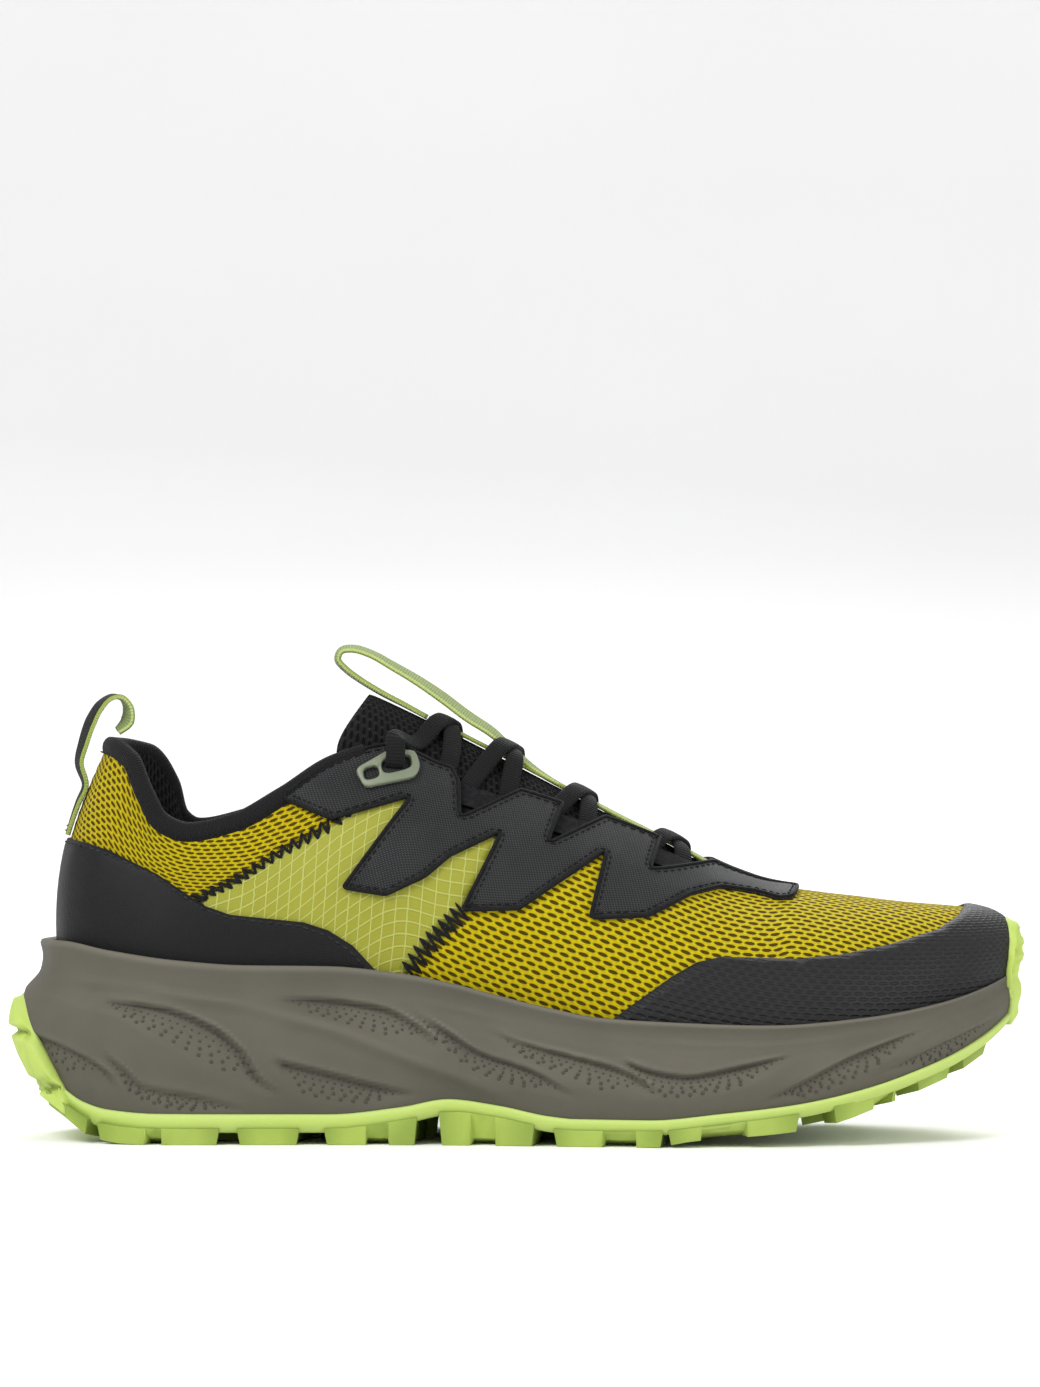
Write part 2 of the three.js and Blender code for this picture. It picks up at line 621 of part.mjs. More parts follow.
function slotCut(side) {
  const { at, out, fore, upward } = slotFrame(side);
  const block = new THREE.BoxGeometry(laceWidth + 1.6, laceThick + 4.2, 24);
  const turn = new THREE.Matrix4().makeBasis(fore, out.clone().cross(fore), out).setPosition(at);
  return solidOf(block.applyMatrix4(turn));
}

// Outer layer of the upper: knitted mesh behind and in front of a ripstop panel.
const backSeam = sidePrism([[-160, 30], [-100, 30], [-100, 150], [-160, 150]], -gap / 2, gap / 2);
for (const side of [lateral, medial]) {
  const half = sideName[side];
  const seamGap = (line) => seamPrism(line);
  const back = sidePatch(side, [0, 0.45], [0, 1], 0, meshThick).subtract(backSeam);
  add(`heel_mesh_${half}`, back.intersect(behindRear).subtract(seamGap(rearSeam)).subtract(bindingRoom), "mesh");
  const middle = sidePatch(side, [0.15, 0.6], [0, 1], 0, meshThick);
  add(
    `quarter_panel_${half}`,
    middle.subtract(behindRear).subtract(aheadOfFront).subtract(seamGap(rearSeam))
      .subtract(seamGap(frontSeam)).subtract(bindingRoom).subtract(throat).subtract(slotCut(side)),
    "ripstop",
  );
}

// The forefoot closes over the toes, so its wall runs up one side and down the other.
function forefootWall(from, near, far) {
  const rows = [
    ...gridOf(0, 1, riseStep).map((r) => [r, lateral]),
    ...gridOf(0, 1, riseStep).toReversed().map((r) => [r, medial]),
  ];
  const grid = (depth) =>
    gridOf(from, 1, alongStep).map((a) => rows.map(([r, side]) => upperPoint(a, r, side, depth).toArray()));
  return wallSolid(grid(near), grid(far));
}
add("vamp_mesh", forefootWall(0.375, 0, meshThick).intersect(aheadOfFront).subtract(seamPrism(frontSeam)).subtract(throat), "mesh");


// Overlays bonded outside the mesh: heel cover, toe cap and the pointed eyestays.
const overlayNear = -overlayThick - gap;
add("heel_cover", roundPatch(0, 0.46, [0, 0.75], overlayNear, -gap).intersect(belowCover), "black");
add("toe_cap", roundPatch(1, 0.46, [0, 0.9], overlayNear, -gap).intersect(aheadOfCap), "black");

for (const side of [lateral, medial]) {
  const stay = sidePatch(side, [0.3, 0.8], [0.25, 1], overlayNear, -gap);
  const cut = stay.intersect(stayShape[side]).subtract(bindingRoom).subtract(slotCut(side)).subtract(throatCut(0.6));
  add(`eyestay_${sideName[side]}`, cut, "grey");
  const backerNear = meshThick + gap;
  const backer = sidePatch(side, [0.45, 0.7], [0.875, 1], backerNear, backerNear + 0.7);
  add(`eyestay_backer_${sideName[side]}`, backer.subtract(throat).subtract(bindingRoom), "grey");
}

// Stiffeners between mesh and lining at the heel and the toe.
const stiffNear = meshThick + gap;
const stiffFar = stiffNear + stiffenerThick;
const counterTop = 2 * riseStep; // of the wall's height
add("heel_counter", roundPatch(0, 0.225, [0, counterTop], stiffNear, stiffFar), "grey");
add("toe_puff", roundPatch(1, 0.15, [0, 0.625], stiffNear, stiffFar), "grey");

// Padding round the ankle, thickest half way up and thinning forward, and the lining over it.
const foamStart = 3 * riseStep;
const foamEnd = 1;
const padReach = 0.35;
function padDepth(along, rise) {
  const u = clamp((rise - foamStart) / (foamEnd - foamStart), 0, 1);
  const fade = 1 - smooth([[0, 0], [0.2, 0], [padReach, 1]])(along);
  return stiffNear + 0.8 + (collarPad - 0.8) * Math.sin(Math.PI * u) * fade;
}
const collarFoam = roundPatch(0, padReach, [foamStart, foamEnd], stiffNear, padDepth);
add("collar_foam", collarFoam.subtract(bindingRoom), "black");
const collarNear = (a, r) => (a > padReach ? liningDepth : Math.max(liningDepth, padDepth(a, r) + gap));
const collarFar = (a, r) => collarNear(a, r) + liningThick;
const collarLining = roundPatch(0, 0.425, [0, 1], collarNear, collarFar);
const slots = slotCut(lateral).add(slotCut(medial));
add("collar_lining", collarLining.subtract(bindingRoom).subtract(slots), "black");
add("vamp_lining", forefootWall(0.45, liningDepth, liningDepth + liningThick).subtract(throatCut(3)).subtract(slots), "black");
add("collar_binding", tubeSolid(bindingPoints, bindingRadius), "black");

// The tongue: an arched pad under the eyestays; its top flap bends at the first lace crossing.
const tongueZ = smooth([[-44, 130], [-30, 123.5], [-14, 115.5], [0, 108.3], [14, 101], [30, 92.5], [45, 85],
  [60, 76.6], [70, 70.4], [78, 67.6]]);
const tongueHalf = smooth([[-44, 16], [-30, 19.6], [-14, 22.5], [0, 24], [30, 24], [45, 21], [60, 16], [78, 10]]);
const tongueDrop = smooth([[-44, 19], [-14, 26], [14, 26], [30, 24], [45, 20], [60, 14], [78, 6]]);

function tongueUp(x) {
  const slope = (tongueZ(x + 1) - tongueZ(x - 1)) / 2;
  return new THREE.Vector3(-slope, 0, 1).normalize();
}

function tongueFace(x, y) {
  const drop = tongueDrop(x) * (Math.abs(y) / tongueHalf(x)) ** 2.2;
  return new THREE.Vector3(x, y, tongueZ(x)).addScaledVector(tongueUp(x), -drop);
}

function tongueNormal(x, y) {
  const fore = tongueFace(x + 1, y).sub(tongueFace(x - 1, y));
  const across = tongueFace(x, y + 1).sub(tongueFace(x, y - 1));
  return fore.cross(across).normalize();
}

// A point over the tongue: x picks the station, y the place across it, lift the height off it.
function tonguePoint(x, y, lift) {
  return tongueFace(x, y).addScaledVector(tongueNormal(x, y), lift);
}

// A pad from one station to another; skew draws its far end back at the sides, clear of the bend.
function tonguePad([x0, x1, count], near, far, skew = 0) {
  const grid = (lift) =>
    spread(0, 1, count).map((u) =>
      spread(-1, 1, 10).map((a) => {
        const x = mix(x0, x1 - skew * a * a, u);
        return tonguePoint(x, a * tongueHalf(x), lift).toArray();
      }),
    );
  return wallSolid(grid(-near), grid(-far));
}
const bendX = -29;
add("tongue_base", tonguePad([bendX + 0.4, 78, 14], 0, 1), "black");
add("tongue_padding", tonguePad([bendX + 0.4, 78, 14], 1 + gap, 1 + gap + 2.2), "black");
add("tongue_top", tonguePad([-44, bendX - 0.4, 5], 0, tongueThick, 4.8), "black");

// The pull strap lies down the tongue's middle; a second run comes back over the top lace crossing.
const strapLift = gap + strapThick / 2;
const level = new THREE.Vector3(0, 1, 0);
function strapRun(points) {
  const curve = new THREE.CatmullRomCurve3(points);
  const count = Math.max(4, Math.round(curve.getLength() / 5));
  return spread(0, 1, count).map((u) => {
    const along = curve.getTangentAt(u);
    return { at: curve.getPointAt(u), side: level, up: along.clone().cross(level).normalize() };
  });
}
const strapEnd = 67;
const overTongue = (x, lift) => tonguePoint(x, 0, lift);
const lowerRun = spread(bendX + 0.4, strapEnd, 8).map((x) => overTongue(x, strapLift));
add("pull_strap", strapSolid(strapRun(lowerRun), strapWidth, strapThick), "ripstop");
const strapStep = strapThick + gap;
const [bridgeX, bridgeZ] = [-23, 129.2];
const bridge = [
  overTongue(4, strapLift + strapStep),
  overTongue(-5, strapLift + strapStep),
  new THREE.Vector3(-15, 0, 122.6),
  new THREE.Vector3(bridgeX, 0, bridgeZ),
];
add("strap_bridge", strapSolid(strapRun(bridge), strapWidth, strapThick), "ripstop");
const loop = [[-25.6, 130.9], [-37, 138], [-48.5, 143.3], [-52.9, 142.8], [-53, 139.6], [-48, 135.2], [-44, 131.9],
  [-38, 128.4], [-30.5, 125]].map(([x, z]) => new THREE.Vector3(x, 0, z));
add("strap_loop", strapSolid(strapRun(loop), strapWidth, strapThick), "ripstop");

// The small oval tab that holds the strap's lower end.
function ovalTab(x, long, wide, thick, lift) {
  const shape = new THREE.Shape().absellipse(0, 0, long / 2, wide / 2, 0, 2 * Math.PI);
  const geometry = new THREE.ExtrudeGeometry(shape, { depth: thick, bevelEnabled: false, curveSegments: 10 });
  const up = tongueUp(x);
  const at = overTongue(x, lift);
  const turn = new THREE.Matrix4().makeBasis(level.clone().cross(up), level, up).setPosition(at);
  return solidOf(geometry.applyMatrix4(turn));
}
add("strap_anchor", ovalTab(63, 7, strapWidth, 1.4, strapLift + strapThick / 2 + gap), "black");

// The heel's pull loop: webbing sewn down the back of the heel, then a free loop over the collar.
function heelOut(z) {
  let [lo, hi] = [0, 1];
  for (const _ of range(24)) {
    const m = (lo + hi) / 2;
    if (upperPoint(0, m, lateral, 0).z < z) lo = m;
    else hi = m;
  }
  return upperPoint(0, lo, lateral, -gap - strapThick / 2).x;
}
const sewn = [89, 95, 101, 107, 110].map((z) => new THREE.Vector3(heelOut(z) - gap, 0, z));
add("heel_tab", strapSolid(strapRun(sewn), strapWidth, strapThick), "black");
const free = [[heelOut(111) - gap, 111], [-126.6, 116], [-125, 122.5], [-121.5, 127.6], [-118, 128.2],
  [-115.6, 124.8], [-115.9, 121], [-118.5, 119.2]].map(([x, z]) => new THREE.Vector3(x, 0, z));
add("heel_loop", strapSolid(strapRun(free), strapWidth, strapThick), "black");


// A small moulded plate over the eyestay, round the slot.
const plateOutline = [[-45, 109.6], [-44.4, 104.2], [-30.6, 106.6], [-29.8, 113], [-41, 113.6]];
const plateFar = overlayNear - gap;
const plateShape = sidePrism(plateOutline);

// The lace's run on one side's strand, from the slot to the middle of the lowest bar: stations
// over the tongue as [x, y, height]. It crosses four times, over the other strand or under it.
const laceLow = gap + laceThick / 2 + 0.15;
const overStrap = strapStep + laceLow;
const overLace = overStrap + laceThick + gap;
const near = laceLow + 0.35;

const laceSteps = 2; // stations in the solid for each one in the route

function crossing(x, slant, towards, lift) {
  const reach = strapWidth / 2 + 1.4;
  const edge = lift + 1; // the tongue falls away under the strap's edges
  return [[x - slant * reach, -towards * reach, edge], [x, 0, lift], [x + slant * reach, towards * reach, edge]];
}

function strandStations(first) {
  const [odd, even] = first ? [overLace, overStrap] : [overStrap, overLace];
  return [
    [-26.6, -12, near], ...crossing(-22, 0.38, 1, odd), [-17.2, 12, near], [-15.6, 17, laceLow],
    [-14.7, 18.8, laceLow - 0.1], [-12.6, 20.2, laceLow - 0.1], [-10.5, 18.8, laceLow - 0.1],
    [-9.6, 17, laceLow],
    [-8.4, 12, near], ...crossing(-4.5, 0.36, -1, even + strapStep + 0.35), [-0.4, -12, near],
    [1.6, -16.5, laceLow], [4.4, -19, laceLow], [9.4, -19, laceLow], [12, -16.5, laceLow],
    [13.8, -12, near], ...crossing(18, 0.36, 1, odd), [22.2, 12, near], [24.2, 15.4, laceLow],
    [27, 17.6, laceLow], [34, 17.2, laceLow], [37, 14.8, laceLow], [39.4, 11, near],
    ...crossing(44.5, 0.5, -1, even), [49.6, -10.5, near], [51.8, -13.4, laceLow],
    [54.4, -15.2, laceLow], [57.2, -13.6, laceLow], [57.6, -10, near], [57.4, -6.4, overStrap + 1],
    [57.4, 0, overStrap],
  ];
}

function laceTail(side) {
  const { at, out, upward } = slotFrame(side);
  const inside = (rise, depth) => ({
    at: upperPoint(slot.along, rise, side, depth),
    up: upperNormal(slot.along, rise, side),
  });
  return [
    inside(0.62, insideDepth + 2),
    inside(0.7, insideDepth + 2),
    inside(0.8, insideDepth + 2.4),
    { at: at.clone().addScaledVector(out, -3), up: upward.clone().negate() },
    { at: at.clone().addScaledVector(out, 2.2), up: upward.clone().negate() },
    { at: at.clone().addScaledVector(out, 4.8).addScaledVector(upward, 2.4), up: out.clone() },
    { at: at.clone().addScaledVector(out, 5.6).addScaledVector(upward, 7.4), up: out.clone() },
  ];
}

function laceRoute() {
  const strand = (side) =>
    strandStations(side === lateral).map(([x, y, lift]) => ({
      at: tonguePoint(x, -side * y, lift),
      up: tongueNormal(x, -side * y),
    }));
  return [
    ...laceTail(lateral),
    ...strand(lateral),
    ...strand(medial).slice(0, -1).toReversed(),
    ...laceTail(medial).toReversed(),
  ];
}

function lace() {
  const route = laceRoute();
  const curve = new THREE.CatmullRomCurve3(route.map((r) => r.at), false, "centripetal");
  const count = (route.length - 1) * laceSteps;
  return strapSolid(
    range(count + 1).map((i) => {
      const t = i / count;
      const k = Math.min(Math.floor(i / laceSteps), route.length - 2);
      const up = route[k].up.clone().lerp(route[k + 1].up, i / laceSteps - k);
      const along = curve.getTangent(t);
      const side = along.clone().cross(up).normalize();
      return { at: curve.getPoint(t), side, up: side.clone().cross(along).normalize() };
    }),
    laceWidth,
    laceThick,
  );
}

for (const side of [lateral, medial]) {
  const plate = sidePatch(side, [0.35, 0.5], [0.625, 1], plateFar - 1.2, plateFar);
  add(`eyelet_plate_${sideName[side]}`, plate.intersect(plateShape).subtract(slotCut(side)), "plate");
}
add("shoelace", lace(), "black");

// The lace's hard tips, tucked down inside the shoe.
for (const side of [lateral, medial]) {
  const tip = [0.6, 0.54, 0.48, 0.42].map((rise) => {
    const up = upperNormal(slot.along, rise, side);
    const along = upperMid(slot.along, rise - 0.02, side).sub(upperMid(slot.along, rise + 0.02, side));
    return {
      at: upperPoint(slot.along, rise, side, insideDepth + 2),
      up,
      side: along.cross(up).normalize(),
    };
  });
  add(`aglet_${sideName[side]}`, strapSolid(tip, 3.4, 2.2), "plate");
}

export default shoe;
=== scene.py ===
# A trail running shoe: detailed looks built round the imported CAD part.
# Lengths in the shape code are millimetres; they turn into metres when a mesh is made.
import math

import bpy
import numpy as np
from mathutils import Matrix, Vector
from mathutils.geometry import delaunay_2d_cdt


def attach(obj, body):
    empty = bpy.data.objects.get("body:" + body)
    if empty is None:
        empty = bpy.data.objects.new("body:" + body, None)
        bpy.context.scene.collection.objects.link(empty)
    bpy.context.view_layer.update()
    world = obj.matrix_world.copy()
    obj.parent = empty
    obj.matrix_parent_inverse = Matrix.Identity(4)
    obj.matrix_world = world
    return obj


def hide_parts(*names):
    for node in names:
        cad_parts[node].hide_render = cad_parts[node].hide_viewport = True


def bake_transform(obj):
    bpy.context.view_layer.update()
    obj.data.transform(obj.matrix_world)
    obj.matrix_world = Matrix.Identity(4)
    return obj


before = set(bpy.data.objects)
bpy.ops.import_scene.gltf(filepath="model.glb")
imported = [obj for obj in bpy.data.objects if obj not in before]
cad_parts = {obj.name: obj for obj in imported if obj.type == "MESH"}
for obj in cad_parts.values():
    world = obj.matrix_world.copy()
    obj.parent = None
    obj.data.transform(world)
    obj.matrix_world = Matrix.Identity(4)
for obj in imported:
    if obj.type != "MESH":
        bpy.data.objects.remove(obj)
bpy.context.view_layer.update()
scene = bpy.context.scene
mm = 0.001
lateral, medial = -1, 1
for name in ("Cube", "Light", "Camera"):  # what a new file starts with
    if name in bpy.data.objects:
        bpy.data.objects.remove(bpy.data.objects[name])

cameraSet = {"aim": (0.0003, 0, 0.130), "distance": 1.8, "viewHeight": 0.40875}


def makeCamera(c):
    data = bpy.data.cameras.new("camera")
    data.sensor_width = 36
    data.lens = data.sensor_width * c["distance"] / c["viewHeight"]
    camera = bpy.data.objects.new("camera", data)
    camera.location = (c["aim"][0], -c["distance"], c["aim"][2])
    camera.rotation_euler = (math.radians(90), 0, 0)
    scene.collection.objects.link(camera)
    scene.camera = camera


makeCamera(cameraSet)
print("camera ready")


# ---- shader maths
class Wire:  # a socket that adds Math nodes when it is worked with
    def __init__(self, tree, socket=None):
        self.tree, self.socket = tree, socket

    def node(self, kind, settings=None, values=None, out=0):
        made = self.tree.nodes.new(kind)
        for key, value in (settings or {}).items():
            if key == "stops":
                ramp = made.color_ramp.elements
                while len(ramp) < len(value):
                    ramp.new(0.5)
                for stop, (at, colour) in zip(ramp, value):
                    stop.position, stop.color = at, colour
            else:
                setattr(made, key, value)
        for key, value in (values or {}).items():
            if isinstance(value, Wire):
                self.tree.links.new(value.socket, made.inputs[key])
            else:
                made.inputs[key].default_value = value
        return Wire(self.tree, made.outputs[out])

    def maths(self, operation, *others):
        return self.node("ShaderNodeMath", {"operation": operation}, dict(enumerate((self, *others))))

    def __add__(self, other): return self.maths("ADD", other)
    def __radd__(self, other): return self.maths("ADD", other)
    def __mul__(self, other): return self.maths("MULTIPLY", other)
    def __rmul__(self, other): return self.maths("MULTIPLY", other)
    def __sub__(self, other): return self.maths("SUBTRACT", other)
    def __rsub__(self, other): return (self * -1).maths("ADD", other)
    def __truediv__(self, other): return self.maths("DIVIDE", other)
    def __rtruediv__(self, other): return self.maths("POWER", -1).maths("MULTIPLY", other)
    def __pow__(self, other): return self.maths("POWER", other)
    def __mod__(self, other): return self.maths("FLOORED_MODULO", other)
    def __neg__(self): return self * -1
    def __abs__(self): return self.maths("ABSOLUTE")

    def floor(self): return self.maths("FLOOR")
    def sine(self): return self.maths("SINE")
    def least(self, other): return self.maths("MINIMUM", other)
    def most(self, other): return self.maths("MAXIMUM", other)

    def fade(self, low, high):  # 0 below low, 1 above high, smooth between
        settings = {"interpolation_type": "SMOOTHSTEP"}
        return self.node("ShaderNodeMapRange", settings, {0: self, 1: low, 2: high})

    def blend(self, first, second):  # the two colours mixed by this value
        values = {0: self, 6: first, 7: second}
        return self.node("ShaderNodeMix", {"data_type": "RGBA"}, values, 2)


studioGain = 0.55  # the studio is bright, so every tone is set darker


def tone(r, g, b):  # a display colour as the shader's linear one
    line = [c / 255 / 12.92 if c <= 10 else ((c / 255 + 0.055) / 1.055) ** 2.4 for c in (r, g, b)]
    return (*(studioGain * c for c in line), 1.0)


class Finish:  # a material under construction: its coordinates and its surface shader
    def __init__(self, name, rough=0.8, sheen=0.0, coat=0.0, level=0.5, metal=0.0):
        self.material = bpy.data.materials.new(name)
        self.material.use_nodes = True
        self.tree = self.material.node_tree
        self.surface = self.tree.nodes["Principled BSDF"]
        self.start = Wire(self.tree)
        self.set("Roughness", rough)
        self.set("Sheen Weight", sheen)
        self.set("Coat Weight", coat)
        self.set("Specular IOR Level", level)
        self.set("Metallic", metal)

    def set(self, name, value):
        if isinstance(value, Wire):
            self.tree.links.new(value.socket, self.surface.inputs[name])
        else:
            self.surface.inputs[name].default_value = value

    def lay(self, turn=0.0):  # the piece's own flat coordinates, in millimetres, turned by so many degrees
        flat = self.start.node("ShaderNodeUVMap", {"uv_map": "lay"})
        turned = flat.node("ShaderNodeVectorRotate", {"rotation_type": "Z_AXIS"},
                           {"Vector": flat, "Angle": math.radians(turn)})
        return self.parts(turned)

    def place(self):  # the object's coordinates, in metres
        return self.start.node("ShaderNodeTexCoord", out=3)

    def parts(self, vector):
        return [vector.node("ShaderNodeSeparateXYZ", values={0: vector}, out=i) for i in (0, 1)]

    def noise(self, scale, detail=2.0, rough=0.5):
        values = {"Vector": self.place(), "Scale": scale, "Detail": detail, "Roughness": rough}
        return self.start.node("ShaderNodeTexNoise", values=values)

    def bump(self, height, distance, strength=1.0):
        values = {"Height": height, "Distance": distance, "Strength": strength}
        self.set("Normal", self.start.node("ShaderNodeBump", values=values))


# ---- curves and surfaces of the shoe
def smooth(points, level=False):  # a curve through the points that never overshoots them
    x, y = np.array(points, float).T
    slope = np.diff(y) / np.diff(x)
    tangent = np.zeros(len(x))
    if not level:
        tangent[0], tangent[-1] = slope[0], slope[-1]
    for i in range(1, len(x) - 1):
        a, b = slope[i - 1], slope[i]
        if a * b > 0:
            h, k = x[i] - x[i - 1], x[i + 1] - x[i]
            tangent[i] = 3 * (h + k) / ((2 * k + h) / a + (k + 2 * h) / b)

    def curve(at):
        v = np.clip(at, x[0], x[-1])
        i = np.clip(np.searchsorted(x, v, side="right") - 1, 0, len(x) - 2)
        h = x[i + 1] - x[i]
        t = (v - x[i]) / h
        return ((1 + 2 * t) * (1 - t) ** 2 * y[i] + t * (1 - t) ** 2 * h * tangent[i]
                + t * t * (3 - 2 * t) * y[i + 1] + t * t * (t - 1) * h * tangent[i + 1])

    return curve


def unit(v):
    return v / np.maximum(np.linalg.norm(v, axis=-1, keepdims=True), 1e-9)


shoe = {
    "length": 294.3, "heelX": -147.0, "rimDepth": 5.5,
    "alongX": [[0, 0], [.05, 4], [.12, 19], [.22, 47], [.34, 85], [.46, 125], [.58, 165], [.68, 199],
               [.78, 233], [.87, 263], [.94, 284], [1, 295.5]],
    "lateral": [[0, 0], [.05, 19], [.12, 36], [.22, 44.5], [.34, 44], [.46, 45], [.58, 51.5], [.68, 56],
                [.78, 53], [.87, 41], [.94, 21], [1, -6]],
    "medial": [[0, 0], [.05, 19], [.12, 35], [.22, 42.5], [.34, 39], [.46, 38], [.58, 46], [.68, 53.5],
               [.78, 56], [.87, 49.5], [.94, 34], [1, 6]],
    "biteZ": [[-147, 57.5], [-133, 58], [-119, 55.7], [-97, 52.8], [-80, 51.6], [-55, 51.3], [-34, 49.2],
              [-20, 46.6], [-6, 43], [9, 39.5], [23, 36.9], [44, 35.7], [72, 34.8], [100, 36.8],
              [122, 40.4], [136, 44.2], [148.5, 49.2]],
    "foamZ": [[-147, 20], [-140, 17.8], [-133, 13.3], [-126, 8.8], [-119, 6.8], [-105, 5.9], [-55, 5.9],
              [-34, 8.3], [-20, 11], [-6, 9.4], [9, 6.5], [16, 5.9], [37, 5.9], [58, 8], [79, 10.6],
              [100, 15.3], [115, 20.3], [129, 26.2], [143, 35], [148.5, 41]],
    "groundZ": [[-152, 24], [-148, 19], [-139, 12], [-130, 6.2], [-124, 2], [-112, 0], [39, 0], [47, 1.5],
                [79, 4.4], [91, 6.8], [103, 10.9], [116, 15.6], [129, 21], [143, 30.6], [150, 40]],
    "heelTuck": [[0, 6], [.2, 2.2], [.4, 0], [.62, 1.6], [.78, 6.2], [.88, 6.8], [1, 5.8]],
    "sideTuck": [[0, 3.5], [.2, 1.2], [.4, 0], [.62, 1], [.78, 3.6], [.88, 4], [1, 3.2]],
    "heelShare": [[0, 1], [.1, .8], [.22, 0], [1, 0]],
    "toeTuck": [[0, 1], [.75, 1], [.93, .35], [1, .25]],
    "upperInset": [[0, 12.4], [.12, 11], [.22, 10], [.46, 8.5], [.68, 8], [.87, 7.2], [.95, 4.6], [1, 2.6]],
    "topX": [[0, -121], [.05, -118.5], [.1, -113.5], [.14, -109], [.18, -104], [.22, -96], [.28, -82],
             [.33, -68], [.38, -53], [.42, -38], [.46, -24], [.5, -9], [.56, 10], [.62, 31], [.68, 52],
             [.72, 64], [.75, 73], [.78, 81], [.87, 101], [.94, 112], [1, 118]],
    "topZ": [[0, 115.6], [.05, 115], [.1, 111.5], [.14, 101.5], [.18, 93.3], [.22, 90.4], [.28, 93.4],
             [.33, 101.3], [.38, 111], [.42, 115], [.46, 109.5], [.5, 104.6], [.56, 98.4], [.62, 91.4],
             [.68, 82.4], [.72, 77], [.75, 74], [.78, 72.6], [.87, 70], [.94, 68.4], [1, 67.6]],
    "topSpread": [[0, 0], [.05, 11], [.1, 19], [.14, 24], [.18, 27.5], [.22, 29.5], [.28, 30], [.33, 27.5],
                  [.38, 23.5], [.42, 20], [.46, 18.4], [.56, 17.4], [.62, 16], [.68, 12.6], [.72, 8],
                  [.75, 3.6], [.765, 0], [1, 0]],
    "topCentre": [[0, 0], [.6, 0], [.75, 1.2], [1, 6]],
    "topLean": [[0, 25], [.1, 18], [.22, 8], [.33, 16], [.42, 38], [.56, 52], [.68, 66], [.75, 84],
                [.78, 90], [1, 90]],
    "wallShare": [[0, .42], [.5, .45], [.75, .5], [.88, .62], [1, .8]],
    "roofShare": [[0, .4], [.75, .42], [.88, .5], [1, .78]],
    "wallSwell": [[0, 2], [.1, 2], [.22, 2.5], [.5, 2.5], [.75, 2.5], [.9, 2.6], [1, 4]],
}
alongX = smooth([(t, shoe["heelX"] + x * shoe["length"] / 295.5) for t, x in shoe["alongX"]], True)
curves = {key: smooth(value) for key, value in shoe.items() if isinstance(value, list)}
biteZ, foamZ, groundZ = curves["biteZ"], curves["foamZ"], curves["groundZ"]


def plan(a, side):
    reach = np.where(side < 0, curves["lateral"](a), curves["medial"](a))
    return np.stack([alongX(a), side * reach], -1)


def outward(a, side):
    step = 0.004
    d = unit(plan(np.minimum(a + step, 1), side) - plan(np.maximum(a - step, 0), side))
    out = np.stack([-side * d[..., 1], side * d[..., 0]], -1)
    ease = np.clip(np.minimum(a, 1 - a) / 0.012, 0, 1)[..., None]  # both sides agree at heel and toe
    ends = np.stack([np.where(a < 0.5, -1.0, 1.0), np.zeros_like(a)], -1)
    return unit(out * ease + ends * (1 - ease))


def upperMid(a, r, side):
    a, r, side = np.broadcast_arrays(np.asarray(a, float), np.asarray(r, float), np.asarray(side, float))
    out = outward(a, side)
    foot2 = plan(a, side) - out * curves["upperInset"](a)[..., None]
    foot = np.concatenate([foot2, (biteZ(foot2[..., 0]) - shoe["rimDepth"] + 0.3)[..., None]], -1)
    higher = np.exp(-((a - 0.135) / 0.05) ** 2) * (side > 0)  # the inner side of the collar stands higher
    top = np.stack([curves["topX"](a) + 4.5 * higher, curves["topCentre"](a) + side * curves["topSpread"](a),
                    curves["topZ"](a) + 3.0 * higher], -1)
    flat = top - foot
    flat[..., 2] = 0
    flat = unit(flat)
    chord = np.linalg.norm(top - foot, axis=-1)
    lean = np.radians(curves["topLean"](a))
    low = foot.copy()
    low[..., :2] += out * curves["wallSwell"](a)[..., None]
    low[..., 2] += (top - foot)[..., 2] * curves["wallShare"](a)
    reach = chord * curves["roofShare"](a)
    high = top - flat * (np.sin(lean) * reach)[..., None]
    high[..., 2] -= np.cos(lean) * reach
    t = r[..., None]
    return (foot * (1 - t) ** 3 + low * 3 * t * (1 - t) ** 2 + high * 3 * t * t * (1 - t) + top * t ** 3)


def upperNormal(a, r, side):
    step = 0.006
    b = np.clip(a, step, 1 - step)
    q = np.clip(r, step, 1 - step)
    dAlong = upperMid(b + step, q, side) - upperMid(b - step, q, side)
    dRise = upperMid(b, q + step, side) - upperMid(b, q - step, side)
    n = unit(np.cross(dAlong, dRise) * -np.asarray(side, float)[..., None])
    ends = (np.asarray(a) <= 1e-6) | (np.asarray(a) >= 1 - 1e-6)
    n[..., 1] = np.where(ends, 0, n[..., 1])
    return unit(n)


# One ring round the shoe: 0 at the heel, 1 at the toe by way of the lateral side, 2 at the heel again.
def ringSide(w):
    w = np.mod(w, 2)
    return np.where(w <= 1, w, 2 - w), np.where(w <= 1, lateral, medial)


def upperPoint(w, r, depth):
    a, side = ringSide(np.asarray(w, float))
    r = np.broadcast_to(np.asarray(r, float), a.shape)
    depth = np.broadcast_to(np.asarray(depth, float), a.shape)
    return upperMid(a, r, side) - upperNormal(a, r, side) * depth[..., None]


ringW = np.linspace(-1, 3, 1601)
ringMid = upperPoint(ringW, np.full_like(ringW, 0.35), 0)
ringLength = np.concatenate([[0], np.cumsum(np.linalg.norm(np.diff(ringMid, axis=0), axis=1))])
ringLength -= np.interp(0, ringW, ringLength)
wallTall = 80.0


def toFlat(wr):
    return np.stack([np.interp(wr[..., 0], ringW, ringLength), wr[..., 1] * wallTall], -1)


def fromFlat(uv):
    return np.stack([np.interp(uv[..., 0], ringLength, ringW), np.clip(uv[..., 1] / wallTall, 0, 1)], -1)


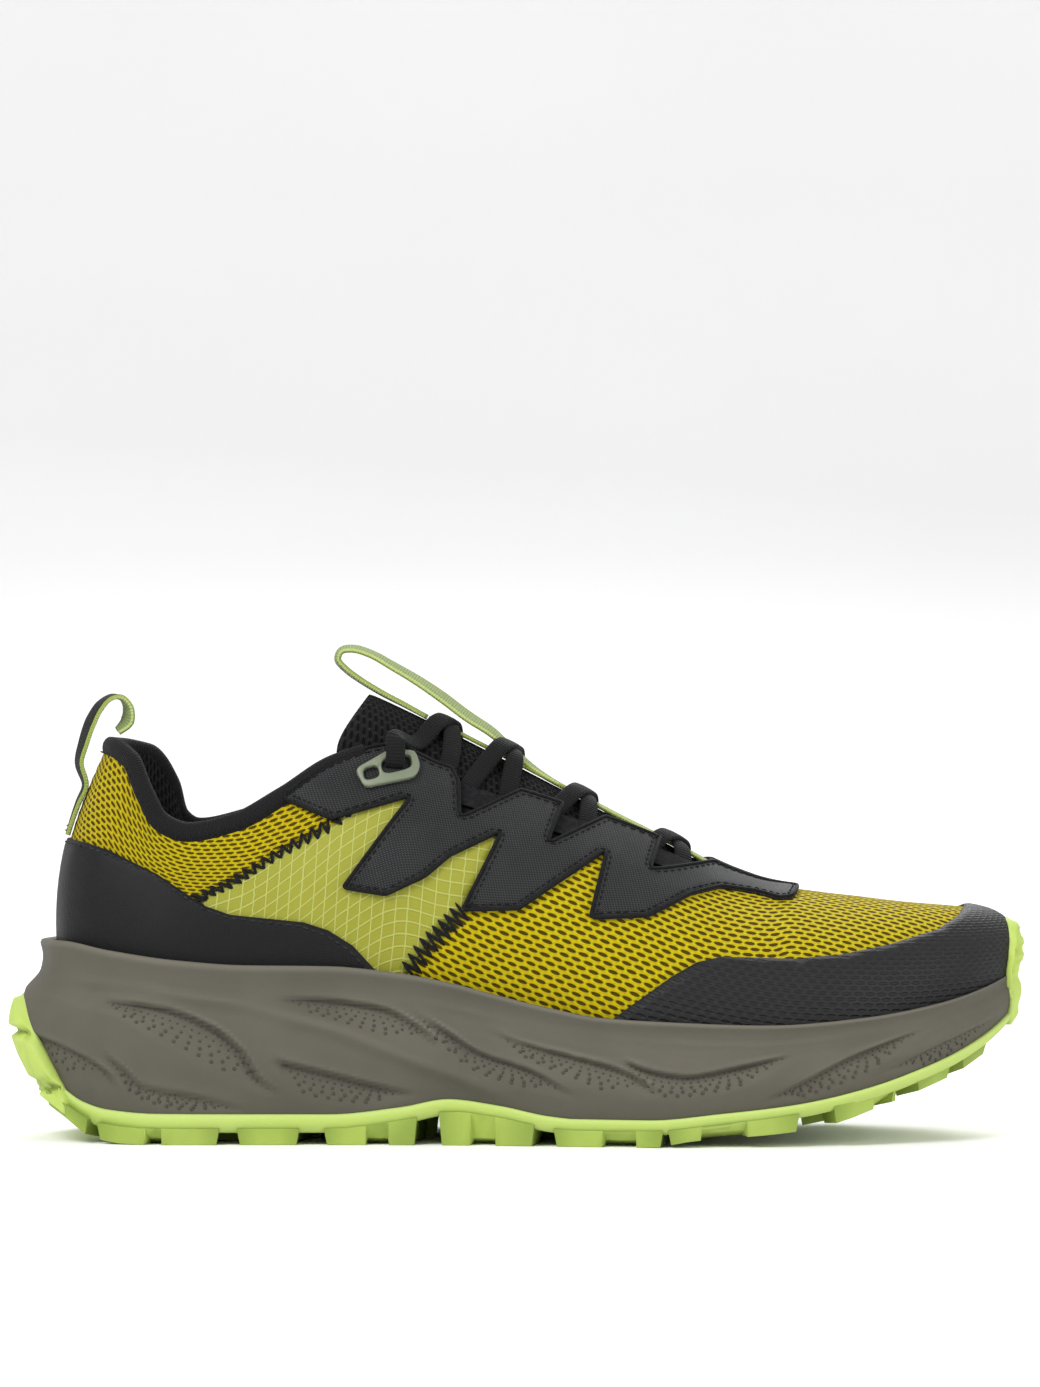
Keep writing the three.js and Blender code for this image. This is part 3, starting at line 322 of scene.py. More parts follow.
# The place on the ring, for either side, of points seen from the side.
gridA, gridR = np.meshgrid(np.linspace(0, 1, 301), np.linspace(0, 1, 81), indexing="ij")
gridSeen = {s: upperMid(gridA, gridR, s)[..., [0, 2]] for s in (lateral, medial)}


def seen(points, side):
    points = np.asarray(points, float)
    found = []
    flatGrid = gridSeen[side].reshape(-1, 2)
    for p in points:
        k = np.argmin(((flatGrid - p) ** 2).sum(1))
        a, r, span, rise = gridA.flat[k], gridR.flat[k], 1 / 300, 1 / 80
        for _ in range(6):
            da, dr = np.meshgrid(np.linspace(-1, 1, 5) * span, np.linspace(-1, 1, 5) * rise)
            ca, cr = np.clip(a + da, 0, 1).ravel(), np.clip(r + dr, 0, 1).ravel()
            q = upperMid(ca, cr, float(side))[..., [0, 2]]
            j = np.argmin(((q - p) ** 2).sum(1))
            a, r, span, rise = ca[j], cr[j], span * 0.55, rise * 0.55
        found.append((a if side == lateral else 2 - a, r))
    return np.array(found)


def resample(points, step):
    points = np.asarray(points, float)
    out = [points[0]]
    for p, q in zip(points[:-1], points[1:]):
        n = max(1, int(round(np.linalg.norm(q - p) / step)))
        out += [p + (q - p) * (i + 1) / n for i in range(n)]
    return np.array(out)


print("surfaces ready")


# ---- making meshes
def meshPiece(name, points, faces, material, lay=None, body="shoe", slot=None):
    data = bpy.data.meshes.new(name)
    data.from_pydata((np.asarray(points, float) * mm).tolist(), [], [list(map(int, f)) for f in faces])
    for m in (material if isinstance(material, (list, tuple)) else [material]):
        data.materials.append(m)
    if lay is not None:
        layer = data.uv_layers.new(name="lay")
        index = np.empty(len(data.loops), int)
        data.loops.foreach_get("vertex_index", index)
        layer.data.foreach_set("uv", np.asarray(lay, float)[index].ravel())
    data.polygons.foreach_set("use_smooth", [True] * len(data.polygons))
    data.update()
    obj = bpy.data.objects.new(name, data)
    scene.collection.objects.link(obj)
    if body:
        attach(obj, body)
    return obj


def bevel(obj, width, segments=2, angle=45):
    m = obj.modifiers.new("edge", "BEVEL")
    m.width, m.segments, m.limit_method = width * mm, segments, "ANGLE"
    m.angle_limit = math.radians(angle)
    m.harden_normals = False
    return obj


def insideLoop(points, loop):
    x, y = points[:, 0][:, None], points[:, 1][:, None]
    x0, y0 = loop[:, 0][None], loop[:, 1][None]
    x1, y1 = np.roll(loop[:, 0], -1)[None], np.roll(loop[:, 1], -1)[None]
    crosses = (y0 > y) != (y1 > y)
    at = x0 + (y - y0) * (x1 - x0) / np.where(y1 == y0, 1e-9, y1 - y0)
    return (crosses & (x < at)).sum(1) % 2 == 1


def edgeDistance(points, loop):
    a, b = loop, np.roll(loop, -1, 0)
    d = b - a
    best = np.full(len(points), 1e9)
    for p, q in zip(a, d):
        t = np.clip(((points - p) @ q) / max(q @ q, 1e-12), 0, 1)
        best = np.minimum(best, np.linalg.norm(points - p - t[:, None] * q, axis=1))
    return best


def fillLoops(loops, step):  # triangles over a flat outline and its holes
    outer = loops[0]
    lo, hi = outer.min(0), outer.max(0)
    nx, ny = int((hi[0] - lo[0]) / step) + 2, int((hi[1] - lo[1]) / (step * 0.87)) + 2
    gx, gy = np.meshgrid(np.arange(nx), np.arange(ny), indexing="ij")
    grid = np.stack([lo[0] + (gx + 0.5 * (gy % 2)) * step, lo[1] + gy * step * 0.87], -1).reshape(-1, 2)
    grid = grid[insideLoop(grid, outer)]
    for loop in loops:
        grid = grid[edgeDistance(grid, loop) > step * 0.55]
    for hole in loops[1:]:
        grid = grid[~insideLoop(grid, hole)]
    places, edges = [], []
    for loop in loops:
        base = len(places)
        places += loop.tolist()
        edges += [(base + i, base + (i + 1) % len(loop)) for i in range(len(loop))]
    places += grid.tolist()
    made = delaunay_2d_cdt([Vector(p) for p in places], edges, [], 0, 1e-4, False)
    points = np.array([tuple(v) for v in made[0]])
    faces = np.array([f for f in made[2] if len(f) == 3])
    centre = points[faces].mean(1)
    keep = insideLoop(centre, outer)
    for hole in loops[1:]:
        keep &= ~insideLoop(centre, hole)
    faces = faces[keep]
    a, b, c = points[faces[:, 0]], points[faces[:, 1]], points[faces[:, 2]]
    turn = (b - a)[:, 0] * (c - a)[:, 1] - (b - a)[:, 1] * (c - a)[:, 0]
    faces[turn < 0] = faces[turn < 0][:, ::-1]
    used = np.unique(faces)
    remap = np.full(len(points), -1)
    remap[used] = np.arange(len(used))
    return points[used], remap[faces]


def rimEdges(faces):
    seenOnce = {}
    for f in faces:
        for i in range(3):
            p, q = f[i], f[(i + 1) % 3]
            if (q, p) in seenOnce:
                del seenOnce[(q, p)]
            else:
                seenOnce[(p, q)] = True
    return list(seenOnce)


def layer(name, loops, near, far, material, step=2.6, roll=0.35, lay=None, **more):
    # A piece of sheet laid on the upper: loops are in ring places (w, r), near and far its two depths.
    flat = [toFlat(np.asarray(loop)) for loop in loops]
    points, faces = fillLoops(flat, step)
    wr = fromFlat(points)
    n = len(points)
    edge = np.full(n, 1e9)
    for loop in flat:
        edge = np.minimum(edge, edgeDistance(points, loop))
    nearDepth = near(wr) if callable(near) else np.full(n, near)
    outer = upperPoint(wr[:, 0], wr[:, 1], nearDepth + roll * (edge < 0.05))
    inner = upperPoint(wr[:, 0], wr[:, 1], nearDepth + (far - near if not callable(near) else far))
    rim = rimEdges(faces.tolist())
    allFaces = faces.tolist() + (faces[:, ::-1] + n).tolist() + [(q, p, p + n, q + n) for p, q in rim]
    spot = points if lay is None else lay(wr, points)
    return meshPiece(name, np.vstack([outer, inner]), allFaces, material, np.vstack([spot, spot]), **more)


girthR = np.linspace(0, 1, 81)


def girthLay(wr, points):  # length along the shoe, and girth down from the middle line
    a, side = ringSide(wr[:, 0])
    out = np.zeros((len(a), 2))
    columns = {}
    for i, (ai, si, ri) in enumerate(zip(a, side, wr[:, 1])):
        key = (round(float(ai), 3), int(si))
        if key not in columns:
            p = upperMid(np.full(81, key[0]), girthR, np.full(81, float(si)))
            d = np.diff(p, axis=0)
            columns[key] = p[:, 0], np.concatenate([[0], np.cumsum(np.hypot(d[:, 1], d[:, 2]))])
        x, g = columns[key]
        total = g[-1]
        out[i] = np.interp(ri, girthR, x), si * (total - np.interp(ri, girthR, g))
    return out


def frameAlong(points):  # unit directions along a run of points
    return unit(np.gradient(points, axis=0))


def sweep(name, points, profile, ups, material, ends=True, matAt=None, **more):
    # A profile of (side, up) offsets carried along points; lay is (length, distance round the profile).
    points, ups = np.asarray(points, float), np.asarray(ups, float)
    profile = np.asarray(profile, float)
    along = frameAlong(points)
    side = unit(np.cross(along, ups))
    up = np.cross(side, along)
    k, n = len(profile), len(points)
    verts = (points[:, None] + side[:, None] * profile[None, :, :1] + up[:, None] * profile[None, :, 1:]).reshape(-1, 3)
    run = np.concatenate([[0], np.cumsum(np.linalg.norm(np.diff(points, axis=0), axis=1))])
    faces, mats = [], []
    for i in range(n - 1):
        for j in range(k):
            m = (j + 1) % k
            faces.append((i * k + j, (i + 1) * k + j, (i + 1) * k + m, i * k + m))
            mats.append(matAt(j) if matAt else 0)
    if ends:
        faces += [tuple(range(k)), tuple(range((n - 1) * k, n * k))[::-1]]
        mats += [0, 0]
    lay = np.stack([np.repeat(run, k), np.tile(profile[:, 0], n)], -1)
    obj = meshPiece(name, verts, faces, material, lay, **more)
    obj.data.polygons.foreach_set("material_index", mats)
    return obj


def ribbonProfile(width, thick, crown=0.0):  # a flat strap with rounded edges
    w, t = width / 2, thick / 2
    return [(-w, 0), (-w + t * 0.5, -t * 0.8), (-w + t * 1.6, -t), (-w * 0.35, -t - crown * 0.8), (0, -t - crown),
            (w * 0.35, -t - crown * 0.8), (w - t * 1.6, -t), (w - t * 0.5, -t * 0.8), (w, 0),
            (w - t * 0.5, t * 0.8), (w - t * 1.6, t), (w * 0.35, t + crown * 0.8), (0, t + crown),
            (-w * 0.35, t + crown * 0.8), (-w + t * 1.6, t), (-w + t * 0.5, t * 0.8)]


def roundProfile(radius, count=8):
    turn = np.linspace(0, 2 * np.pi, count, endpoint=False)
    return np.stack([np.cos(turn), np.sin(turn)], -1) * radius


def catmull(points, count):  # a smooth run through the points, count steps between each pair
    points = np.asarray(points, float)
    ends = np.vstack([2 * points[0] - points[1], points, 2 * points[-1] - points[-2]])
    out = []
    for p0, p1, p2, p3 in zip(ends[:-3], ends[1:-2], ends[2:-1], ends[3:]):
        d = [max(np.linalg.norm(b - a), 1e-6) ** 0.5 for a, b in ((p0, p1), (p1, p2), (p2, p3))]
        m1 = (p1 - p0) / d[0] - (p2 - p0) / (d[0] + d[1]) + (p2 - p1) / d[1]
        m2 = (p2 - p1) / d[1] - (p3 - p1) / (d[1] + d[2]) + (p3 - p2) / d[2]
        m1, m2 = m1 * d[1], m2 * d[1]
        for t in np.arange(count) / count:
            out.append((2 * t ** 3 - 3 * t * t + 1) * p1 + (t ** 3 - 2 * t * t + t) * m1
                       + (-2 * t ** 3 + 3 * t * t) * p2 + (t ** 3 - t * t) * m2)
    return np.array(out + [points[-1]])


def stitchMesh(name, runs, material, radius=0.24, **more):
    # Thread between pairs of points: each run is (points, normals) with a stitch from one point to the next.
    verts, faces = [], []
    sides = 6
    for start, end, up in runs:
        start, end, up = np.array(start), np.array(end), np.array(up)
        along = unit(end - start)
        side = np.cross(along, up)
        base = len(verts)
        for t, swell in ((0, 0.35), (0.18, 0.95), (0.5, 1.1), (0.82, 0.95), (1, 0.35)):
            sink = -radius * 0.7 if t in (0, 1) else 0
            at = start + (end - start) * t + up * sink
            for k in range(sides):
                turn = 2 * np.pi * k / sides
                verts.append(at + side * math.cos(turn) * radius * swell + up * math.sin(turn) * radius * swell)
        for i in range(4):
            for k in range(sides):
                m = (k + 1) % sides
                faces.append((base + i * sides + k, base + i * sides + m,
                              base + (i + 1) * sides + m, base + (i + 1) * sides + k))
        faces += [tuple(base + k for k in range(sides))[::-1], tuple(base + 4 * sides + k for k in range(sides))]
    return meshPiece(name, verts, faces, material, np.zeros((len(verts), 2)), **more)


def onUpper(wr, depth):  # points on the upper and its normals there
    a, side = ringSide(wr[:, 0])
    return upperPoint(wr[:, 0], wr[:, 1], depth), upperNormal(a, wr[:, 1], side.astype(float))


def inset(flat, distance, closed=False):  # a flat line moved to its left by so much
    d = unit(np.roll(flat, -1, 0) - np.roll(flat, 1, 0)) if closed else frameAlong(flat)
    return flat + np.stack([-d[:, 1], d[:, 0]], -1) * distance


def dashes(flat, depth, length=2.0, space=0.9):  # stitches along a flat line on the upper
    run = np.concatenate([[0], np.cumsum(np.linalg.norm(np.diff(flat, axis=0), axis=1))])
    starts = np.arange(0.4, run[-1] - length, length + space)
    pick = lambda s: fromFlat(np.stack([np.interp(s, run, flat[:, 0]), np.interp(s, run, flat[:, 1])], -1))
    p, n = onUpper(pick(starts), depth)
    q, _ = onUpper(pick(starts + length), depth)
    return list(zip(p, q, n))


def zigzag(line, half, pitch, depth):  # a run of crossing threads over a seam
    run = np.concatenate([[0], np.cumsum(np.linalg.norm(np.diff(line, axis=0), axis=1))])
    at = np.arange(0, run[-1], pitch)
    mid = np.stack([np.interp(at, run, line[:, 0]), np.interp(at, run, line[:, 1])], -1)
    across = frameAlong(mid)
    across = np.stack([-across[:, 1], across[:, 0]], -1)
    lift = np.where(np.arange(len(at)) % 2 == 0, 1, -1)[:, None]
    wr = fromFlat(mid + across * half * lift)
    p, n = onUpper(wr, depth)
    return [(p[i], p[i + 1], n[i]) for i in range(len(p) - 1)]
print("tools ready")


# ---- finishes
def cells(u, v, wide, tall, holeWide, holeTall, soft=0.35):
    # Elongated holes in staggered rows: 1 in the middle of a hole, 0 on the threads.
    row = (v / tall).floor()
    du = ((u / wide + row * 0.5) % 1) - 0.5
    dv = ((v / tall) % 1) - 0.5
    reach = (du * (wide / holeWide)) ** 2 + (dv * (tall / holeTall)) ** 2
    return 1 - reach.fade(0.25 * (1 - soft), 0.25 * (1 + soft)), du, dv


def knitFinish(name, look):  # an open knitted mesh with long holes between its yarns
    f = Finish(name, rough=look["rough"], sheen=0.2 * look["sheen"], level=0.4 * look["level"])
    u, v = f.lay(look["turn"])
    sway = f.noise(55, 1)
    u, v = u + (sway - 0.5) * look["sway"], v + (f.noise(70, 1) - 0.5) * look["sway"] * 0.7
    hole, du, dv = cells(u, v, *look["pitch"], *look["hole"])
    band = ((du + dv * 0.9) * (2 * math.pi)).sine() * 0.5 + 0.5
    band2 = ((du - dv * 0.9) * (2 * math.pi)).sine() * 0.5 + 0.5
    yarn = band.most(band2)
    stitch = ((u * look["stitch"] + v * look["stitch"] * 1.7).sine() * 0.5 + 0.5)
    patchy = f.noise(28, 3, 0.6).fade(0.25, 0.75)
    base = (yarn * 0.75 + stitch * 0.25).blend(look["shade"], look["yarn"])
    base = (patchy * look["patch"]).blend(base, look["second"])
    # painted shade: the holes take a dark tone, standing in for the shaded inside of the shoe seen through them
    f.set("Base Color", hole.blend(base, look["holeShade"]))
    height = (1 - hole) * (yarn * 0.35 + 0.5) + stitch * 0.18 * (1 - hole)
    f.bump(height, look["depth"] * mm, look["strength"])
    f.set("Roughness", 0.72 + hole * 0.2)
    return f.material


yellowKnit = {"rough": 0.85, "sheen": 0.12, "level": 0.25, "turn": 9, "sway": 0.7, "pitch": (3.5, 2.0),
              "hole": (2.75, 1.15), "stitch": 6.5, "patch": 0.45, "depth": 0.9, "strength": 0.9,
              "yarn": tone(246, 226, 12), "shade": tone(212, 186, 4), "second": tone(234, 208, 8),
              "holeShade": tone(84, 70, 4)}
heelKnit = dict(yellowKnit, turn=14, second=tone(228, 196, 8))
blackKnit = {"rough": 0.9, "sheen": 0.2, "level": 0.3, "turn": 55, "sway": 0.8, "pitch": (3.2, 1.9),
             "hole": (2.5, 1.2), "stitch": 6.5, "patch": 0.4, "depth": 0.9, "strength": 1.0,
             "yarn": tone(34, 34, 36), "shade": tone(19, 19, 21), "second": tone(27, 27, 29),
             "holeShade": tone(5, 5, 6)}


def ripstopFinish(name, look):  # thin plain cloth with a raised grid of doubled threads
    f = Finish(name, rough=0.62, sheen=0.1, level=0.35)
    u, v = f.lay(look["turn"])
    sway = f.noise(22, 2)
    u, v = u + (sway - 0.5) * 2.4 + v * look["skew"], v + (f.noise(26, 2) - 0.5) * 2.0

    def thread(x):
        near = abs(((x / look["cell"]) % 1) - 0.5)
        return 1 - near.fade(0.045, 0.1)

    grid = thread(u).most(thread(v))
    fine = ((u * 9).sine() * (v * 9).sine()) * 0.5 + 0.5
    faint = 1 - abs(((v / 1.2) % 1) - 0.5).fade(0.1, 0.3)
    cloth = f.noise(30, 3).blend(look["dark"], look["base"])
    cloth = (fine * 0.25 + faint * 0.1).blend(cloth, look["light"])
    f.set("Base Color", (grid * 0.75).blend(cloth, look["thread"]))
    f.bump(grid * 0.8 + fine * 0.12 + sway * 0.6, 0.35 * mm, 0.8)
    return f.material


limeRipstop = {"turn": -7, "skew": -0.22, "cell": 3.7, "base": tone(178, 180, 46), "dark": tone(160, 160, 30),
               "light": tone(188, 190, 62), "thread": tone(214, 218, 112)}


def wovenFinish(name, look):  # coated cloth with a fine diagonal pattern of small specks
    f = Finish(name, rough=look["rough"], sheen=0.4 * look["sheen"], level=0.2)
    u, v = f.lay(look["turn"])
    speck = cells(u, v, *look["pitch"], *look["speck"], soft=0.6)[0]
    wear = f.noise(45, 3, 0.6)
    cloth = wear.fade(0.3, 0.75).blend(look["dark"], look["base"])
    f.set("Base Color", (speck * (0.35 + wear * 0.6)).blend(cloth, look["light"]))
    f.set("Roughness", look["rough"] + (0.5 - wear) * 0.2)
    f.bump(speck * 0.7 + f.noise(60, 2) * 0.5, look["depth"] * mm, 0.8)
    return f.material


stayCloth = {"rough": 0.66, "sheen": 0.1, "turn": 33, "pitch": (1.15, 0.62), "speck": (0.75, 0.38), "depth": 0.3,
             "base": tone(36, 37, 39), "dark": tone(26, 26, 28), "light": tone(84, 86, 86)}
coverCloth = {"rough": 0.55, "sheen": 0.05, "turn": -38, "pitch": (1.0, 0.6), "speck": (0.6, 0.34), "depth": 0.22,
              "base": tone(22, 22, 24), "dark": tone(17, 17, 19), "light": tone(36, 37, 39)}


def embossedFinish(name, look):  # smooth film bonded over the mesh, so the mesh shows through as dimples, which are painted darker as painted shade
    f = Finish(name, rough=look["rough"], level=0.24)
    u, v = f.lay(look["turn"])
    u, v = u + (f.noise(50, 1) - 0.5) * 0.8, v + (f.noise(65, 1) - 0.5) * 0.6
    dimple = cells(u, v, *look["pitch"], *look["hole"], soft=0.8)[0]
    wear = f.noise(40, 4, 0.6)
    # painted shade: the dimples are coloured darker, mixed with random wear
    f.set("Base Color", (dimple * 0.5 + wear * 0.3).blend(look["base"], look["dark"]))
    f.set("Roughness", look["rough"] + wear * 0.16 - 0.05)
    f.bump((1 - dimple) * 0.8 + wear * 0.3, look["depth"] * mm, look["strength"])
    return f.material


capFilm = {"rough": 0.52, "turn": 9, "pitch": (3.5, 2.0), "hole": (2.5, 1.05), "depth": 0.5, "strength": 0.75,
           "base": tone(37, 37, 39), "dark": tone(23, 23, 25)}


def foamFinish(name, look):  # moulded foam: faint mottling, with painted shade in the hollows and a painted highlight on the ridges
    f = Finish(name, rough=0.7, level=0.35)
    edge = f.start.node("ShaderNodeNewGeometry", out=7)
    grain = f.noise(900, 2, 0.6)
    cloud = f.noise(22, 3, 0.6)
    base = cloud.fade(0.25, 0.75).blend(look["base"], look["second"])
    # painted shade: where the surface curves inwards (low pointiness) it takes the darker hollow tone
    base = (1 - edge.fade(0.4, 0.5)).blend(base, look["hollowShade"])
    # painted highlight: where the surface curves outwards (high pointiness) it takes the lighter ridge tone
    f.set("Base Color", edge.fade(0.5, 0.62).blend(base, look["ridgeHighlight"]))
    f.set("Roughness", 0.62 + grain * 0.16)
    f.bump(grain * 0.4 + cloud * 0.5, 0.16 * mm, 0.6)
    return f.material


# the hollow and ridge tones are painted shade and painted highlight
midFoam = {"base": tone(99, 96, 83), "second": tone(108, 104, 90), "hollowShade": tone(60, 58, 49),
           "ridgeHighlight": tone(136, 131, 117)}
rubberLook = {"base": tone(216, 243, 108), "second": tone(224, 249, 124), "hollowShade": tone(132, 158, 54),
              "ridgeHighlight": tone(222, 248, 150)}


def webbingFinish(name, look):  # narrow woven tape: ribs across it and two edge cords
    f = Finish(name, rough=0.78, sheen=0.03, level=0.15)
    u, v = f.lay()
    rib = (u * (2 * math.pi / look["rib"])).sine() * 0.5 + 0.5
    cord = (v * (2 * math.pi / look["cord"]) + (u / look["rib"]).floor() * math.pi).sine() * 0.5 + 0.5
    weave = rib * 0.6 + cord * 0.4
    wear = f.noise(120, 3)
    side = abs(v).fade(look["edge"] - 0.25, look["edge"] + 0.05)
    base = (weave * 0.8 + wear * 0.3).blend(look["dark"], look["base"])
    f.set("Base Color", side.blend(base, look["trim"]))
    f.bump(weave, look["depth"] * mm, 0.9)
    return f.material


laceTape = {"rib": 0.9, "cord": 0.95, "edge": 9, "depth": 0.3, "base": tone(32, 32, 34), "dark": tone(13, 13, 14),
            "trim": tone(32, 32, 34)}
limeTape = {"rib": 0.8, "cord": 1.1, "edge": 4.3, "depth": 0.3, "base": tone(186, 204, 134), "dark": tone(140, 158, 94),
            "trim": tone(214, 232, 150)}
darkTape = {"rib": 0.8, "cord": 1.1, "edge": 4.2, "depth": 0.3, "base": tone(28, 28, 30), "dark": tone(12, 12, 13),
            "trim": tone(176, 196, 92)}


def plasticFinish(name, look):  # satin moulded plastic with a faint orange-peel
    f = Finish(name, rough=look["rough"], level=0.5)
    peel = f.noise(700, 2)
    f.set("Base Color", f.noise(90, 3).blend(look["base"], look["second"]))
    f.set("Roughness", look["rough"] + peel * 0.14 - 0.05)
    f.bump(peel, 0.05 * mm, 0.6)
    return f.material


plateLook = {"rough": 0.42, "base": tone(128, 138, 112), "second": tone(140, 150, 124)}
darkLook = {"rough": 0.5, "base": tone(34, 34, 36), "second": tone(44, 44, 46)}


def threadFinish(name, colour, pale):
    f = Finish(name, rough=0.75, sheen=0.03, level=0.15)
    twist = f.noise(1500, 1)
    f.set("Base Color", twist.fade(0.35, 0.65).blend(colour, pale))
    f.bump(twist, 0.08 * mm, 0.7)
    return f.material


def boardFinish(name, colour, pale, fibre=400):
    f = Finish(name, rough=0.9, level=0.12)
    felt = f.noise(fibre, 4, 0.7)
    f.set("Base Color", felt.fade(0.3, 0.7).blend(colour, pale))
    f.bump(felt, 0.2 * mm, 0.8)
    return f.material


finish = {
    "knit": knitFinish("yellow_knit", yellowKnit),
    "heelKnit": knitFinish("yellow_knit_heel", heelKnit),
    "blackKnit": knitFinish("black_knit", blackKnit),
    "ripstop": ripstopFinish("lime_ripstop", limeRipstop),
    "stay": wovenFinish("grey_coated_cloth", stayCloth),
    "cover": wovenFinish("black_coated_cloth", coverCloth),
    "cap": embossedFinish("black_bonded_film", capFilm),
    "foam": foamFinish("grey_foam", midFoam),
    "rubber": foamFinish("lime_rubber", rubberLook),
    "lace": webbingFinish("lace_tape", laceTape),
    "limeTape": webbingFinish("lime_tape", limeTape),
    "darkTape": webbingFinish("dark_tape_lime_edge", darkTape),
    "plate": plasticFinish("sage_plastic", plateLook),
    "dark": plasticFinish("dark_plastic", darkLook),
    "blackThread": threadFinish("black_thread", tone(15, 15, 16), tone(30, 30, 32)),
    "greyThread": threadFinish("grey_thread", tone(40, 41, 43), tone(64, 66, 68)),
    "board": boardFinish("fibre_board", tone(120, 112, 92), tone(150, 142, 120)),
    "lining": boardFinish("lining_cloth", tone(24, 24, 26), tone(44, 44, 46), 700),
}
print("finishes ready")


# ---- the upper's cut pieces: lines as seen from the side, [x, z]
lines = {
    "rearSeam": [[-101, 40], [-99, 60], [-92.5, 71.3], [-83.4, 75.1], [-69.3, 84], [-54.2, 92.2], [-44, 102],
                 [-40, 112]],
    "frontSeam": [[-36, 38], [-32, 49.2], [-26.8, 56.6], [-15.9, 67.5], [-9, 80], [-5, 90]],
    "cover": [[-133.5, 87.6], [-125.8, 86.4], [-118.8, 84.3], [-104.6, 77.5], [-91.1, 68.6], [-83.4, 66],
              [-62.2, 63.9], [-55.1, 61.6], [-48, 57.2], [-40, 48.5], [-36, 40]],
    "cap": [[22, 30], [27.4, 36.8], [36.8, 43.6], [43.9, 48.6], [51, 52.5], [58.1, 53.9], [79.3, 53],
            [93.4, 54.2], [107.6, 56.9], [121.7, 60.7], [128, 64], [131.5, 67]],
    "under": [[-60, 103.5], [-50, 103.5], [-40, 103.5], [-32, 101.5], [-24, 96], [-17, 92], [-10, 91.5],
              [-5.6, 90.8], [0, 88.5], [8.5, 84.5], [17, 85], [24.8, 85.4], [31, 80.5], [38, 76.3], [44, 75],
              [52, 76], [58, 76.5], [70, 74], [79, 71.8]],
    "stayLow": [[-69, 102.5], [-68, 98.8], [-54.5, 93.2], [-32.1, 99.6], [-51, 74], [-49.8, 73.4],
                [-38.3, 71.6], [-26.8, 76.9], [-19.7, 82.8], [-5.6, 89.3], [-16.5, 67.8], [-14.4, 67.2],
                [0.3, 67.5], [8.5, 73.1], [24.8, 83.7], [20.3, 65.7], [21.5, 64.8], [37.4, 65.4],
                [49.5, 71.3], [58.4, 73.2], [69.3, 71.4], [75.7, 69.5], [80, 69.8]],
    "stayTop": [[82.5, 72.6], [73.7, 75.4], [58.9, 80.7], [43.6, 79], [38, 78.6], [41.8, 89], [25.6, 94],
                [8.5, 86.5], [13, 98.1], [0.6, 101.7], [-17, 94], [-17.5, 104], [-22, 112], [-38, 120],
                [-50, 114], [-60, 107.5]],
}


def eased(points, cut=1.2):  # the corners of an outline, each turned with a small radius
    points = np.asarray(points, float)
    out = []
    for before, here, after in zip(np.roll(points, 1, 0), points, np.roll(points, -1, 0)):
        for other in (before, after):
            gap = np.linalg.norm(other - here)
            out.append(here + (other - here) * min(cut / gap, 0.4))
        mid = (out[-2] + out[-1]) / 2
        out.insert(len(out) - 1, here + (mid - here) * 0.5)
    return np.array(out)


def placed(line, side, step=1.8):
    return seen(resample(line, step), side)


placedLines = {(key, side): placed(lines[key], side) for key in ("rearSeam", "frontSeam", "cover", "cap", "under")
               for side in (lateral, medial)}
medialShift = lambda wr: np.stack([np.where(wr[:, 0] > 1, wr[:, 0] - 2, wr[:, 0]), wr[:, 1]], -1)


def runW(w0, w1, r, step=0.006):
    n = max(2, int(abs(w1 - w0) / step))
    return np.stack([np.linspace(w0, w1, n), np.full(n, r)], -1)


def clean(loop, least=0.5):  # drops points that fall on their neighbours
    flat = toFlat(loop)
    keep = [0]
    for i in range(1, len(flat)):
        if np.linalg.norm(flat[i] - flat[keep[-1]]) > least:
            keep.append(i)
    if np.linalg.norm(flat[keep[-1]] - flat[0]) < least:
        keep.pop()
    return loop[keep]


upperSet = {"overlay": 1.3, "mesh": 1.0}


def heelMesh():
    lat = placedLines["rearSeam", lateral]
    med = medialShift(placedLines["rearSeam", medial])
    lat, med = lat[lat[:, 1] > 0.02], med[med[:, 1] > 0.02]
    loop = np.vstack([runW(0, lat[0, 0], 0.02), lat, runW(lat[-1, 0], med[-1, 0], 0.995), med[::-1],
                      runW(med[0, 0], 0, 0.02)])
    obj = layer("heel_mesh", [clean(loop)], 0.0, 1.0, finish["heelKnit"], slot="mesh_fabric")
    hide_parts("heel_mesh_lateral", "heel_mesh_medial")


def quarterPanel(side):
    rear, front, under = (placedLines[k, side] for k in ("rearSeam", "frontSeam", "under"))
    rear, front = rear[rear[:, 1] > 0.02], front[front[:, 1] > 0.02]
    sign = 1 if side == lateral else -1
    order = under[:, 0] * sign
    mid = under[(order > rear[-1, 0] * sign) & (order < front[-1, 0] * sign)]
    loop = np.vstack([runW(rear[0, 0], front[0, 0], 0.02), front, mid[::-1], rear[::-1]])
    loop = clean(loop)
    half = "lateral" if side == lateral else "medial"
    obj = layer(f"quarter_panel_cloth_{half}", [loop if side == lateral else loop[::-1]], 0.05, 0.9,
                finish["ripstop"], lay=girthLay, slot="ripstop_fabric")
    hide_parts(f"quarter_panel_{half}")


def vampMesh():
    sides = []
    for side in (lateral, medial):
        front, under = placedLines["frontSeam", side], placedLines["under", side]
        sign = 1 if side == lateral else -1
        front = front[front[:, 1] > 0.02]
        ahead = under[under[:, 0] * sign > front[-1, 0] * sign + 0.004]
        sides.append(np.vstack([front, ahead]))
    lat, med = sides
    join = 0.765
    loop = np.vstack([lat, runW(lat[-1, 0], join, 1.0)[1:], runW(join, 2 - join, 1.0)[1:-1],
                      runW(2 - join, med[-1, 0], 1.0)[:-1], med[::-1], runW(med[0, 0], lat[0, 0], 0.02)[1:-1]])
    obj = layer("vamp_mesh_knit", [clean(loop)[::-1]], 0.0, 1.0, finish["knit"], lay=girthLay,
                slot="mesh_fabric")
    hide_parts("vamp_mesh")


